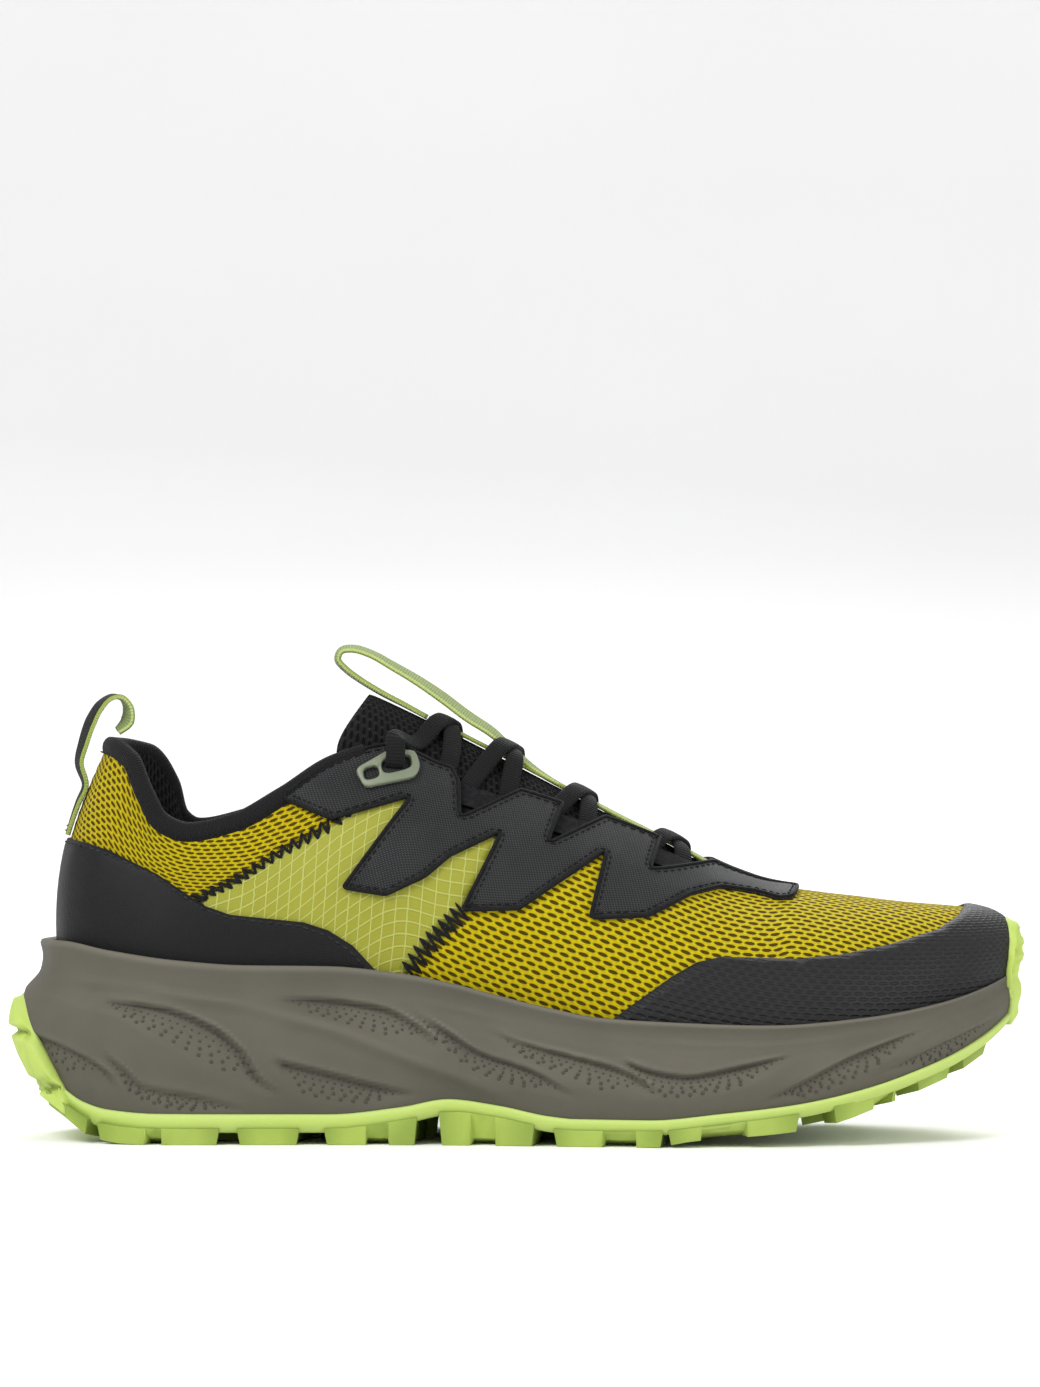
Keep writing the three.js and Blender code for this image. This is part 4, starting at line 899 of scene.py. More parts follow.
def heelCover():
    lat, med = placedLines["cover", lateral], medialShift(placedLines["cover", medial])
    lat, med = lat[lat[:, 1] > 0.02], med[med[:, 1] > 0.02]
    loop = clean(np.vstack([lat[::-1], runW(0, 0, lat[0, 1])[:1], med, runW(med[-1, 0], lat[-1, 0], 0.02)[1:-1]]))
    obj = layer("heel_cover_film", [loop[::-1]], -upperSet["overlay"], -0.05, finish["cover"], slot="overlay_film")
    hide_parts("heel_cover")
    stitches = []
    for side, run in ((lateral, lat), (medial, med)):
        flat = inset(toFlat(run), -1.6 if side == lateral else 1.6)
        stitches += dashes(flat, -upperSet["overlay"] - 0.02)
    piece = stitchMesh("heel_cover_stitching", stitches, finish["greyThread"])


def toeCap():
    lat, med = placedLines["cap", lateral], placedLines["cap", medial]
    lat, med = lat[lat[:, 1] > 0.02], med[med[:, 1] > 0.02]
    tip = runW(lat[-1, 0], med[-1, 0], (lat[-1, 1] + med[-1, 1]) / 2)[1:-1]
    loop = clean(np.vstack([lat, tip, med[::-1], runW(med[0, 0], lat[0, 0], 0.02)[1:-1]]))
    obj = layer("toe_cap_film", [loop[::-1]], -upperSet["overlay"], -0.05, finish["cap"], slot="overlay_film")
    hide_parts("toe_cap")


def eyestay(side):
    half = "lateral" if side == lateral else "medial"
    outline = eased(lines["stayLow"] + lines["stayTop"], 1.0)
    loop = seen(resample(np.vstack([outline, outline[:1]]), 1.4)[:-1], side)
    loop[:, 1] = np.minimum(loop[:, 1], 0.998)
    loop = clean(loop)
    flat = toFlat(loop)
    area = (flat[:, 0] * np.roll(flat[:, 1], -1) - np.roll(flat[:, 0], -1) * flat[:, 1]).sum()
    if area < 0:
        loop, flat = loop[::-1], flat[::-1]
    obj = layer(f"eyestay_cloth_{half}", [loop], -upperSet["overlay"], -0.02, finish["stay"], step=2.2,
                slot="eyestay_fabric")
    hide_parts(f"eyestay_{half}")
    closed = np.vstack([flat, flat[:1]])
    at, up = onUpper(fromFlat(inset(closed, 0.35)), -upperSet["overlay"] + 0.12)
    sweep(f"eyestay_edge_{half}", at, roundProfile(0.55, 6), up, finish["blackThread"], ends=False,
          slot="eyestay_fabric")
    stitches = dashes(inset(closed, 1.9), -upperSet["overlay"] - 0.02, 1.7, 0.8)
    stitchMesh(f"eyestay_stitching_{half}", stitches, finish["blackThread"], 0.26, slot="eyestay_fabric")


def seams(side):
    half = "lateral" if side == lateral else "medial"
    for key, span in (("rearSeam", (58, 101.5)), ("frontSeam", (46, 68))):
        run = placedLines[key, side]
        z = upperPoint(run[:, 0], run[:, 1], 0)[:, 2]
        run = run[(z > span[0]) & (z < span[1])]
        name = "rear" if key == "rearSeam" else "front"
        stitches = zigzag(toFlat(run), 3.1, 1.5, -0.3)
        stitchMesh(f"{name}_seam_thread_{half}", stitches, finish["blackThread"], 0.44, slot="mesh_fabric")


heelMesh()
for side in (lateral, medial):
    quarterPanel(side)
    eyestay(side)
    seams(side)
vampMesh()
heelCover()
toeCap()
print("upper ready")


# ---- the sole
foam = {
    "gap": 0.3, "web": 2.2, "stepDrop": 0.9, "rows": 46, "columns": 520,
    # each hollow: its upper edge, its lower edge, its depth
    "hollows": [
        ([[-123.5, 41], [-113.2, 40.4], [-103.7, 39.2], [-89, 33.9], [-80.2, 27.1], [-74.3, 18.3], [-66.6, 13.3]],
         [[-123.5, 41], [-116.7, 37.7], [-103.7, 30.1], [-91.9, 23], [-78.4, 16.2], [-66.6, 13.3]], 2.6),
        ([[-144.1, 30.9], [-133.2, 28], [-123.5, 23.6], [-117.6, 19.2], [-114, 13.3]],
         [[-144.1, 30.9], [-138.2, 25], [-129.4, 18.6], [-114, 13.3]], 1.7),
        ([[-122, 27.1], [-114.6, 22.1], [-108.7, 16.8], [-94, 13.9], [-82.2, 10.9], [-75.7, 9.1]],
         [[-122, 27.1], [-116.1, 19.2], [-110.2, 13.3], [-97, 9.4], [-75.7, 8.8]], 1.6),
        ([[-73.4, 42.1], [-55.7, 41.3], [-39.5, 38.9], [-29.2, 33.9], [-20.3, 26.5]],
         [[-73.4, 42.1], [-58.6, 36.8], [-41, 30.9], [-20.3, 26.5]], 2.2),
        ([[-71.9, 24.5], [-55.7, 20.6], [-41, 16.8], [-27.7, 14.1]],
         [[-71.9, 24.5], [-67.5, 17.7], [-58.6, 12.1], [-43.9, 10.9], [-27.7, 13.9]], 2.2),
        ([[-33.6, 39.8], [-23.3, 33.9], [-11.5, 26.5], [3.2, 21.5], [18, 13.3]],
         [[-33.6, 39.8], [-26.2, 32.4], [-11.5, 19.7], [3.2, 15.6], [18, 13]], 2.1),
        ([[-11.5, 34.5], [0.3, 29.5], [15, 25.6], [29.8, 21.5], [41.6, 14.1]],
         [[-11.5, 34.5], [0.3, 25.6], [15, 18.9], [29.8, 13.6], [41.6, 13.6]], 2.1),
        ([[28.3, 25.6], [35.7, 22.1], [47.4, 20.3], [62.2, 22.7], [81.3, 27.1]],
         [[28.3, 25.6], [32.7, 17.7], [43, 13.3], [59.2, 15.6], [71, 20.6], [81.3, 27.1]], 2.2),
        ([[68.1, 12.1], [82.8, 19.2], [93.1, 24.5], [106.4, 29.5], [119.6, 33.9]],
         [[68.1, 12.1], [82.8, 14.1], [96.1, 18.3], [106.4, 24.8], [119.6, 33.9]], 1.7),
        ([[103.4, 20.3], [115.2, 25.6], [130, 31.5], [141.8, 36]],
         [[103.4, 20.3], [118.2, 22.4], [131.4, 27.7], [141.8, 36]], 1.4),
    ],
    "ridges": [  # flowing ridges: their line, height and half width
        ([[-135.3, 52.2], [-117.6, 49.8], [-97.8, 44.2], [-79.3, 40.7], [-55.7, 34.5], [-35.1, 26.8],
          [-15.3, 19.2], [0.3, 13]], 1.5, 2.6),
        ([[12.1, 37.4], [35.7, 33.3], [59.2, 30.4], [82.8, 32.1], [103.4, 37.4], [124.1, 43.3]], 0.9, 2.4),
        ([[-143, 47.5], [-120, 46.8], [-100, 47.2], [-75, 46.6], [-50, 45.6], [-25, 41.5], [0, 35.5]], 0.6, 1.5),
    ],
}
wallOf = {k: [smooth(u), smooth(l)] for k, (u, l, d) in enumerate(foam["hollows"])}


def foamTuck(a, t):
    share = curves["heelShare"](a)
    return curves["sideTuck"](t) * curves["toeTuck"](a) * (1 - share) + curves["heelTuck"](t) * share


def sculpt(x, z):  # how far the foam wall stands out of its plain shape
    out = np.zeros_like(x)
    for k, (upper, lower, depth) in enumerate(foam["hollows"]):
        x0, x1 = upper[0][0], upper[-1][0]
        ends = np.clip((x - x0) / 4, 0, 1) * np.clip((x1 - x) / 4, 0, 1)
        high, low = wallOf[k][0](x), wallOf[k][1](x)
        tall = np.maximum(high - low, 0.3)
        s = (z - low) / tall
        sunk = np.where(s < 0, 0, np.where(s <= 1, np.clip(s, 0, 1) ** 1.3,
                                           np.clip(1 - (z - high) / foam["stepDrop"], 0, 1)))
        out -= depth * sunk * ends * np.clip(tall / 6, 0, 1)
        out += 0.55 * ends * np.exp(-((z - high - 1.9) / 1.5) ** 2) * np.clip(tall / 6, 0, 1)
    for line, tall, half in foam["ridges"]:
        mid = smooth(line)(x)
        ends = np.clip((x - line[0][0]) / 12, 0, 1) * np.clip((line[-1][0] - x) / 12, 0, 1)
        out += tall * ends * np.exp(-((z - mid) / half) ** 2)
    return out


def foamWall(w, t, proud=0.0, carved=True):
    a, side = ringSide(np.asarray(w, float))
    t = np.broadcast_to(np.asarray(t, float), a.shape)
    out = outward(a, side)
    p = plan(a, side) - out * foamTuck(a, t)[..., None]
    z = foamZ(p[..., 0]) * (1 - t) + biteZ(p[..., 0]) * t
    if carved:
        edge = np.clip(t / 0.08, 0, 1) * np.clip((0.84 - t) / 0.05, 0, 1)
        p = p + out * (sculpt(p[..., 0], z) * edge)[..., None]
    p = p + out * np.asarray(proud, float)[..., None]
    return np.concatenate([p, z[..., None]], -1)


def ringShell(name, rows, material, **more):  # closed rings of points, capped across at both ends
    n = len(rows[0])
    verts = np.vstack(rows)
    faces = []
    for r in range(len(rows) - 1):
        for i in range(n):
            k = (i + 1) % n
            faces.append((r * n + i, r * n + k, (r + 1) * n + k, (r + 1) * n + i))
    for base, flip in ((0, True), ((len(rows) - 1) * n, False)):
        for i in range(n // 2):
            j, k = (n - i) % n, n - i - 1
            f = (base + i, base + i + 1, base + k, base + j) if i else (base, base + 1, base + n - 1)
            if i == n // 2 - 1:
                f = (base + i, base + i + 1, base + n - i)
            faces.append(f[::-1] if flip else f)
    lay = np.stack([np.tile(np.arange(n) * 1.4, len(rows)), np.repeat(np.arange(len(rows)) * 1.1, n)], -1)
    return meshPiece(name, verts, faces, material, lay, **more)


def soleInset(w, distance, z):
    a, side = ringSide(w)
    p = plan(a, side) - outward(a, side) * np.broadcast_to(distance, a.shape)[..., None]
    height = z(p[..., 0]) if callable(z) else np.broadcast_to(z, a.shape)
    return np.concatenate([p, height[..., None]], -1)


def midsole():
    w = np.linspace(0, 2, foam["columns"], endpoint=False)
    a, side = ringSide(w)
    rows = [soleInset(w, 13, lambda x: foamZ(x)), soleInset(w, foamTuck(a, 0 * a) + 1.2, lambda x: foamZ(x))]
    for t in np.linspace(0.015, 0.975, foam["rows"]):
        rows.append(foamWall(w, np.full_like(w, t)))
    inset = curves["upperInset"](a)
    rim = foamTuck(a, 0 * a + 1)
    for share, drop in ((0.12, -0.05), (0.4, 0.1), (0.75, -0.15), (0.98, -1.0)):
        rows.append(soleInset(w, rim + (inset - 1.2 - rim) * share, lambda x, d=drop: biteZ(x) + d))
    rows.append(soleInset(w, inset - 0.9, lambda x: biteZ(x) - shoe["rimDepth"]))
    obj = ringShell("midsole_foam", rows, finish["foam"], slot="foam")
    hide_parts("midsole")


def foamDots():  # rows of small raised dots in the hollows, finer towards the crisp edge
    domes = []
    for side in (lateral, medial):
        for k, (upper, lower, depth) in enumerate(foam["hollows"]):
            high, low = wallOf[k]
            x0, x1 = upper[0][0] + 5, upper[-1][0] - 5
            for row, (s, size, pitch) in enumerate(((0.9, 0.3, 1.5), (0.74, 0.38, 2.1), (0.57, 0.5, 2.7),
                                                    (0.4, 0.62, 3.3), (0.24, 0.62, 3.6))):
                x = np.arange(x0 + row * 1.2, x1 - row * 2.5, pitch)
                tall = high(x) - low(x)
                z = low(x) + s * tall
                ok = tall * 0.17 > size * 1.05
                domes += [(px, pz, size, side) for px, pz in zip(x[ok], z[ok])]
    x, z, size, side = np.array(domes).T
    table = np.linspace(0, 1, 800)
    a = np.interp(x, alongX(table), table)
    for _ in range(3):  # the wall stands in from the plan outline, which moves x near the ends
        t = np.clip((z - foamZ(x)) / (biteZ(x) - foamZ(x)), 0, 1)
        here = foamWall(np.where(side < 0, a, 2 - a), t)[:, 0]
        a = np.clip(a + (x - here) / 300, 0, 1)
    w = np.where(side < 0, a, 2 - a)
    at = foamWall(w, t)
    dw = foamWall(w + 0.002, t) - foamWall(w - 0.002, t)
    dt = foamWall(w, np.clip(t + 0.012, 0, 1)) - foamWall(w, np.clip(t - 0.012, 0, 1))
    u = unit(dw)
    n = unit(np.cross(dw, dt))
    v = np.cross(n, u)
    verts, faces = [], []
    count = 7
    for p, pu, pv, pn, r in zip(at, u, v, n, size):
        base = len(verts)
        for ring, lift in ((1.0, -0.25), (0.72, 0.4)):
            for k in range(count):
                turn = 2 * np.pi * k / count
                verts.append(p + (pu * math.cos(turn) + pv * math.sin(turn)) * r * ring + pn * r * lift)
        verts.append(p + pn * r * 0.62)
        for k in range(count):
            m = (k + 1) % count
            faces.append((base + k, base + m, base + count + m, base + count + k))
            faces.append((base + count + k, base + count + m, base + 2 * count))
        faces.append(tuple(base + k for k in range(count))[::-1])
    meshPiece("midsole_dots", verts, faces, finish["foamDot"], np.zeros((len(verts), 2)), slot="foam")


tread = {
    "edge": [  # lugs along the sole's edges: start, end, and the stretch with a cut facet
        (-139.5, -125.6, None), (-122.8, -86.2, (-108, -103.6)), (-81.2, -63.2, None), (-56.2, -29.4, (-43.9, -38)),
        (-23.2, 4, (-13.9, -7.7)), (9.5, 41, (23.9, 32.7)), (42.4, 80.6, (52.5, 65.1)), (90.8, 109.3, (103.4, 109)),
        (115.9, 126.6, None), (130.2, 138.6, None)],
    "inner": [-116, -99, -82, -65, -48, -31, -14, 3, 20, 37, 54, 71, 88, 105, 118], "depth": 13.5,
}


def planAt(x, side, inset):  # the sole's outline at x, moved in
    table = np.linspace(0, 1, 900)
    a = np.interp(x, alongX(table), table)
    out = outward(a, np.full_like(a, side))
    return plan(a, np.full_like(a, side)) - out * np.broadcast_to(inset, a.shape)[..., None]


def blockMesh(rows):  # a block from stations of four corners, closed at both ends
    verts = np.vstack(rows)
    faces = []
    for i in range(len(rows) - 1):
        for j in range(4):
            m = (j + 1) % 4
            faces.append((4 * i + j, 4 * i + m, 4 * i + 4 + m, 4 * i + 4 + j))
    last = 4 * (len(rows) - 1)
    return verts, faces + [(3, 2, 1, 0), (last, last + 1, last + 2, last + 3)]


def addBlock(store, rows, flip):
    verts, faces = blockMesh(rows)
    base = len(store[0])
    store[0].extend(verts.tolist())
    store[1].extend([tuple(base + i for i in (f[::-1] if flip else f)) for f in faces])


def outsole():
    w = np.linspace(0, 2, 460, endpoint=False)
    a, side = ringSide(w)
    gap, web = foam["gap"], foam["web"]
    low = lambda x: foamZ(x) - gap - web
    base = foamTuck(a, 0 * a)
    rows = [soleInset(w, 15, low), soleInset(w, base + 0.8, low), soleInset(w, base - 0.9, lambda x: low(x) + 0.7),
            foamWall(w, np.full_like(w, 0.02), 1.2, False), foamWall(w, np.full_like(w, 0.055), 0.9, False),
            foamWall(w, np.full_like(w, 0.065), 0.2, False), foamWall(w, np.full_like(w, 0.03), -1.5, False),
            soleInset(w, base + 3, lambda x: foamZ(x) - gap)]
    web = ringShell("outsole_web", rows, finish["rubber"], slot="outsole_rubber")
    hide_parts("outsole")
    store = ([], [])
    for edge in (lateral, medial):
        for start, end, facet in tread["edge"]:
            cuts = {start, end}
            if facet:
                cuts |= {facet[0] - 0.5, facet[0], facet[1], facet[1] + 0.5}
            cuts |= set(np.arange(start + 6, end - 4, 6))
            stations = []
            for x in sorted(cuts):
                cut = 1.0 if facet and facet[0] <= x <= facet[1] else 0.0
                lean = 0.9 if x == start else (-0.9 if x == end else 0)
                xs = np.array([x, x + lean, x + lean, x])
                inset = np.array([1.0, 1.6 + 3.2 * cut, tread["depth"] - 1, tread["depth"]])
                p = planAt(xs, edge, inset + curves["sideTuck"](0.0) - 2.6)
                top, bottom = foamZ(p[:, 0]) - foam["gap"] - 0.9, groundZ(p[:, 0]) + 0.02
                z = np.array([top[0], bottom[1] + 1.9 * cut, bottom[2], top[3]])
                z = np.minimum(z, top)
                stations.append(np.column_stack([p, z]))
            addBlock(store, stations, edge == lateral)
    for x in tread["inner"]:
        for edge in (lateral, medial):
            reach = float(np.abs(planAt(np.array([x]), edge, 0)[0, 1]))
            if reach < 26:
                continue
            for y0, y1, slant in ((2.2, reach * 0.32, 3.2), (reach * 0.36, reach - 17.5, -2.4)):
                stations = []
                for xs, shift in ((x - 4.6, 1), (x + 4.6, -1)):
                    ys = np.array([y0, y0 + 0.7, y1 - 0.7, y1]) * edge
                    px = xs + slant * (np.abs(ys) - y0) / (y1 - y0) + np.array([0, 0.8, 0.8, 0]) * shift
                    top, bottom = foamZ(px) - foam["gap"] - 1.0, groundZ(px) + 0.3
                    z = np.minimum(np.array([top[0], bottom[1], bottom[2], top[3]]), top)
                    stations.append(np.column_stack([px, ys, z]))
                addBlock(store, stations, edge == medial)
    lugs = meshPiece("outsole_lugs", store[0], store[1], finish["rubber"], np.zeros((len(store[0]), 2)),
                     slot="outsole_rubber")
    lugs.data.polygons.foreach_set("use_smooth", [False] * len(lugs.data.polygons))
    bevel(lugs, 0.4)


def shellGrid(name, outer, inner, material, lay=None, **more):  # a closed skin between two grids of points
    n, m = outer.shape[:2]
    verts = np.vstack([outer.reshape(-1, 3), inner.reshape(-1, 3)])
    o = lambda i, j: i * m + j
    q = lambda i, j: n * m + i * m + j
    faces = []
    for i in range(n - 1):
        for j in range(m - 1):
            faces.append((o(i, j), o(i + 1, j), o(i + 1, j + 1), o(i, j + 1)))
            faces.append((q(i, j), q(i, j + 1), q(i + 1, j + 1), q(i + 1, j)))
        faces.append((o(i, 0), q(i, 0), q(i + 1, 0), o(i + 1, 0)))
        faces.append((o(i, m - 1), o(i + 1, m - 1), q(i + 1, m - 1), q(i, m - 1)))
    for j in range(m - 1):
        faces.append((o(0, j), o(0, j + 1), q(0, j + 1), q(0, j)))
        faces.append((o(n - 1, j), q(n - 1, j), q(n - 1, j + 1), o(n - 1, j + 1)))
    if lay is None:
        run = np.concatenate([[0], np.cumsum(np.linalg.norm(np.diff(outer[:, m // 2], axis=0), axis=1))])
        rise = np.concatenate([[0], np.cumsum(np.linalg.norm(np.diff(outer[n // 2], axis=0), axis=1))])
        lay = np.stack(np.meshgrid(run, rise, indexing="ij"), -1).reshape(-1, 2)
    return meshPiece(name, verts, faces, material, np.vstack([lay, lay]), **more)


wrap = {"heelReach": 0.1, "heelTall": 26.0, "heelThick": 4.3, "notches": [(31.2, 1.3, 2.4), (15.8, 1.6, 2.6)],
        "toeReach": 0.026, "toeThick": 1.7, "toeTop": 64.0}


def heelWrap():
    w, r = np.meshgrid(np.linspace(-wrap["heelReach"], wrap["heelReach"], 49), np.linspace(0, 1, 41), indexing="ij")
    a, side = ringSide(w)
    tall = 3 + (wrap["heelTall"] - 3) * np.clip(1 - (a / wrap["heelReach"]) ** 2.4, 0, 1)
    out = outward(a, side)
    start = plan(a, side) - out * foamTuck(a, 0 * a)[..., None]
    z0 = foamZ(start[..., 0]) - foam["gap"] - foam["web"]
    z = z0 + r * tall
    t = np.clip((z - foamZ(start[..., 0])) / (biteZ(start[..., 0]) - foamZ(start[..., 0])), 0, 1)
    wall = plan(a, side) - out * foamTuck(a, t)[..., None]
    thick = wrap["heelThick"] * (1 - 0.25 * r ** 3) * np.clip((1 - r) / 0.05, 0.35, 1)
    for at, half, depth in wrap["notches"]:
        thick = thick - depth * np.exp(-((z - at) / half) ** 4)
    thick = np.maximum(thick - 1.2 * np.exp(-((np.abs(w) - 0.052) / 0.006) ** 4), 1.0)
    outer = np.concatenate([wall + out * (thick - 0.6)[..., None], z[..., None]], -1)
    inner = np.concatenate([wall - out * 0.9, z[..., None]], -1)
    shellGrid("outsole_heel_wrap", outer, inner, finish["rubber"], slot="outsole_rubber")


def toeWrap():
    w, r = np.meshgrid(np.linspace(1 - wrap["toeReach"], 1 + wrap["toeReach"], 41), np.linspace(0, 1, 37),
                       indexing="ij")
    a, side = ringSide(w)
    out = outward(a, side)
    start = plan(a, side) - out * foamTuck(a, 0 * a)[..., None]
    z0 = foamZ(start[..., 0]) - foam["gap"] - foam["web"]
    bite = biteZ(start[..., 0])
    top = bite - 3 + (wrap["toeTop"] - bite + 3) * np.clip(1 - ((1 - a) / wrap["toeReach"]) ** 2, 0, 1) ** 0.6
    z = z0 + r * (top - z0)
    t = np.clip((z - foamZ(start[..., 0])) / (bite - foamZ(start[..., 0])), 0, 1)
    wall = np.concatenate([plan(a, side) - out * foamTuck(a, t)[..., None], z[..., None]], -1)
    rises = np.linspace(0, 0.6, 60)
    film = np.zeros_like(wall)
    for i in range(w.shape[0]):
        column = upperPoint(np.full(60, w[i, 0]), rises, -1.45)
        for k in range(3):
            film[i, :, k] = np.interp(z[i], column[:, 2], column[:, k])
    film[..., 2] = z
    share = np.clip((z - bite + 1.5) / 7, 0, 1)
    share = (share * share * (3 - 2 * share))[..., None]
    face = wall * (1 - share) + film * share
    thick = wrap["toeThick"] * np.clip((1 - r) / 0.06, 0.3, 1)
    push = np.concatenate([out, np.zeros_like(r)[..., None]], -1)
    ribs = 0.5 * (np.sin(z * 1.35) > 0.2) * np.clip((z - bite) / 3, 0, 1)
    shellGrid("outsole_toe_wrap", face + push * (thick - 0.4 + ribs)[..., None], face - push * 0.6,
              finish["rubber"], slot="outsole_rubber")


# painted shade: the dots are coloured much darker than the foam round them, as the shade in small dimples
dotShadeLook = {"base": tone(62, 60, 52), "second": tone(54, 52, 45), "hollowShade": tone(34, 33, 28),
           "ridgeHighlight": tone(84, 80, 70)}
finish["foamDot"] = foamFinish("grey_foam_dots", dotShadeLook)
midsole()
foamDots()
outsole()
heelWrap()
toeWrap()
print("sole ready")


# ---- collar, lining and tongue
def collarBinding():
    w = np.linspace(-0.402, 0.402, 170)
    at, up = upperPoint(w, np.full_like(w, 0.985), 1.2), np.tile([0, 0, 1.0], (170, 1))
    profile = roundProfile(1, 14) * [2.5, 3.3]
    obj = sweep("collar_binding_tape", at, profile, up, finish["binding"], slot="binding_fabric")
    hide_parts("collar_binding")
    stitches = []
    line = upperPoint(w, np.full_like(w, 0.955), -1.0)
    a, side = ringSide(w)
    normals = upperNormal(a, np.full_like(w, 0.955), side.astype(float))
    for i in range(0, len(w) - 1, 2):
        stitches.append((line[i] * 0.95 + line[i + 1] * 0.05, line[i] * 0.15 + line[i + 1] * 0.85, normals[i]))
    stitchMesh("collar_stitching", stitches, finish["blackThread"], 0.2, slot="binding_fabric")


padding = {"counter": 0.9, "mesh": 1.0, "start": 3 / 7, "reach": 0.35, "thick": 5.5, "lining": 0.8}


def padDepth(a, r):
    u = np.clip((r - padding["start"]) / (1 - padding["start"]), 0, 1)
    fade = 1 - smooth([[0, 0], [0.2, 0], [padding["reach"], 1]])(a)
    near = padding["mesh"] + 0.3
    return near + 0.8 + (padding["thick"] - 0.8) * np.sin(np.pi * u) * fade


def collarLining():
    w, r = np.meshgrid(np.linspace(-0.424, 0.424, 150), np.linspace(0.03, 0.985, 64), indexing="ij")
    a, side = ringSide(w)
    base = padding["mesh"] + padding["counter"] + 0.6
    depth = np.maximum(base, padDepth(a, r) + 0.3)
    soft = 0.35 * np.sin(w * 60) * np.sin(r * 9) * np.clip((r - 0.3) * 3, 0, 1)
    near, far = upperPoint(w, r, depth), upperPoint(w, r, depth + padding["lining"] + soft)
    near, far = near[::-1], far[::-1]
    run = np.stack(np.meshgrid(np.linspace(0, 250, 150), np.linspace(0, 75, 64), indexing="ij"), -1).reshape(-1, 2)
    obj = shellGrid("collar_padding", far, near, finish["padKnit"], run, slot="lining_fabric")
    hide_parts("collar_lining", "collar_foam")


def vampLining():
    top = 0.955
    join = 0.775
    w = np.linspace(join, 2 - join, 80)[1:-1]
    front = np.stack([w, 0.98 - 0.3 * np.exp(-((w - 1) / 0.05) ** 2)], -1)  # stays below the seam's end
    loop = np.vstack([runW(0.45, 0.45, 0.03)[:1], runW(0.45, join, top), front,
                      runW(2 - join, 1.55, top), runW(1.55, 0.45, 0.03)])
    obj = layer("vamp_lining_cloth", [clean(loop)[::-1]], 2.5, 3.2, finish["lining"], step=4,
                slot="lining_fabric")
    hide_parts("vamp_lining")


tongue = {
    "z": [[-56, 135], [-44, 130], [-30, 123.5], [-14, 115.5], [0, 108.3], [14, 101], [30, 92.5], [45, 85],
          [60, 76.6], [70, 70.4], [78, 67.6]],
    "half": [[-56, 16], [-44, 17.5], [-30, 19.6], [-14, 22.5], [0, 24], [30, 24], [45, 21], [60, 16], [78, 10]],
    "drop": [[-56, 25], [-44, 22.5], [-14, 26], [14, 26], [30, 24], [45, 20], [60, 14], [78, 6]],
    "top": -44.0, "ear": 4.5, "toe": 78, "thick": 4.4, "bend": -28.5,
}
tongueZ, tongueHalf, tongueDrop = (smooth(tongue[k]) for k in ("z", "half", "drop"))


def tongueFace(x, y):
    slope = (tongueZ(x + 1) - tongueZ(x - 1)) / 2
    up = unit(np.stack([-slope, 0 * slope, np.ones_like(slope)], -1))
    fall = tongueDrop(x) * (np.abs(y) / tongueHalf(x)) ** 2.2
    return np.stack([x, y, tongueZ(x)], -1) - up * fall[..., None]


def tongueNormal(x, y):
    fore = tongueFace(x + 1, y) - tongueFace(x - 1, y)
    return unit(np.cross(fore, tongueFace(x, y + 1) - tongueFace(x, y - 1)))


def tonguePoint(x, y, lift):
    x, y = np.asarray(x, float), np.asarray(y, float)
    return tongueFace(x, y) + tongueNormal(x, y) * np.broadcast_to(lift, x.shape)[..., None]


def tonguePad():
    u, s = np.meshgrid(np.linspace(0, 1, 96), np.linspace(-1, 1, 57), indexing="ij")
    start = tongue["top"] - tongue["ear"] * np.abs(s) ** 2.2 + 5 * np.abs(s) ** 12
    x = start + (tongue["toe"] - start) * u
    y = s * tongueHalf(x)
    fromTop = (x - start)
    lip = np.sqrt(np.clip(1 - (1 - np.clip(fromTop / 3.4, 0, 1)) ** 2, 0, 1))
    edge = np.sqrt(np.clip(1 - np.abs(s) ** 9, 0, 1))
    puff = 1.1 * np.clip((tongue["bend"] - 4 - x) / 6, 0, 1) * lip * edge
    puff = puff * (1 - np.exp(-(s / 0.42) ** 4))
    thick = 0.5 + (tongue["thick"] - 0.5) * lip * edge
    thick = thick + 1.6 * np.clip((-34 - x) / 8, 0, 1) * lip * edge * (1 - s ** 4)
    outer = tonguePoint(x, y, puff - 0.25 + 0.25 * lip)
    inner = tonguePoint(x, y, -thick)
    lay = np.stack([x, y * 1.35], -1).reshape(-1, 2)
    obj = shellGrid("tongue_knit", outer, inner, finish["tongueKnit"], lay, body=None, slot="tongue_fabric")
    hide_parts("tongue_base", "tongue_padding", "tongue_top")
    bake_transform(obj)


# ---- straps and loops
def ribbon(name, points, count, width, thick, look, twist=None, mats=None, **more):
    run = catmull(points, count)
    along = frameAlong(run)
    ups = unit(np.cross(along, np.tile([0, 1.0, 0], (len(run), 1))))
    if twist:  # degrees at each point, turned about the run
        turn = np.radians(np.interp(np.arange(len(run)) / count, np.arange(len(twist)), twist))[:, None]
        ups = ups * np.cos(turn) + np.cross(along, ups) * np.sin(turn)
    return sweep(name, run, ribbonProfile(width, thick), ups, look, matAt=mats, **more)


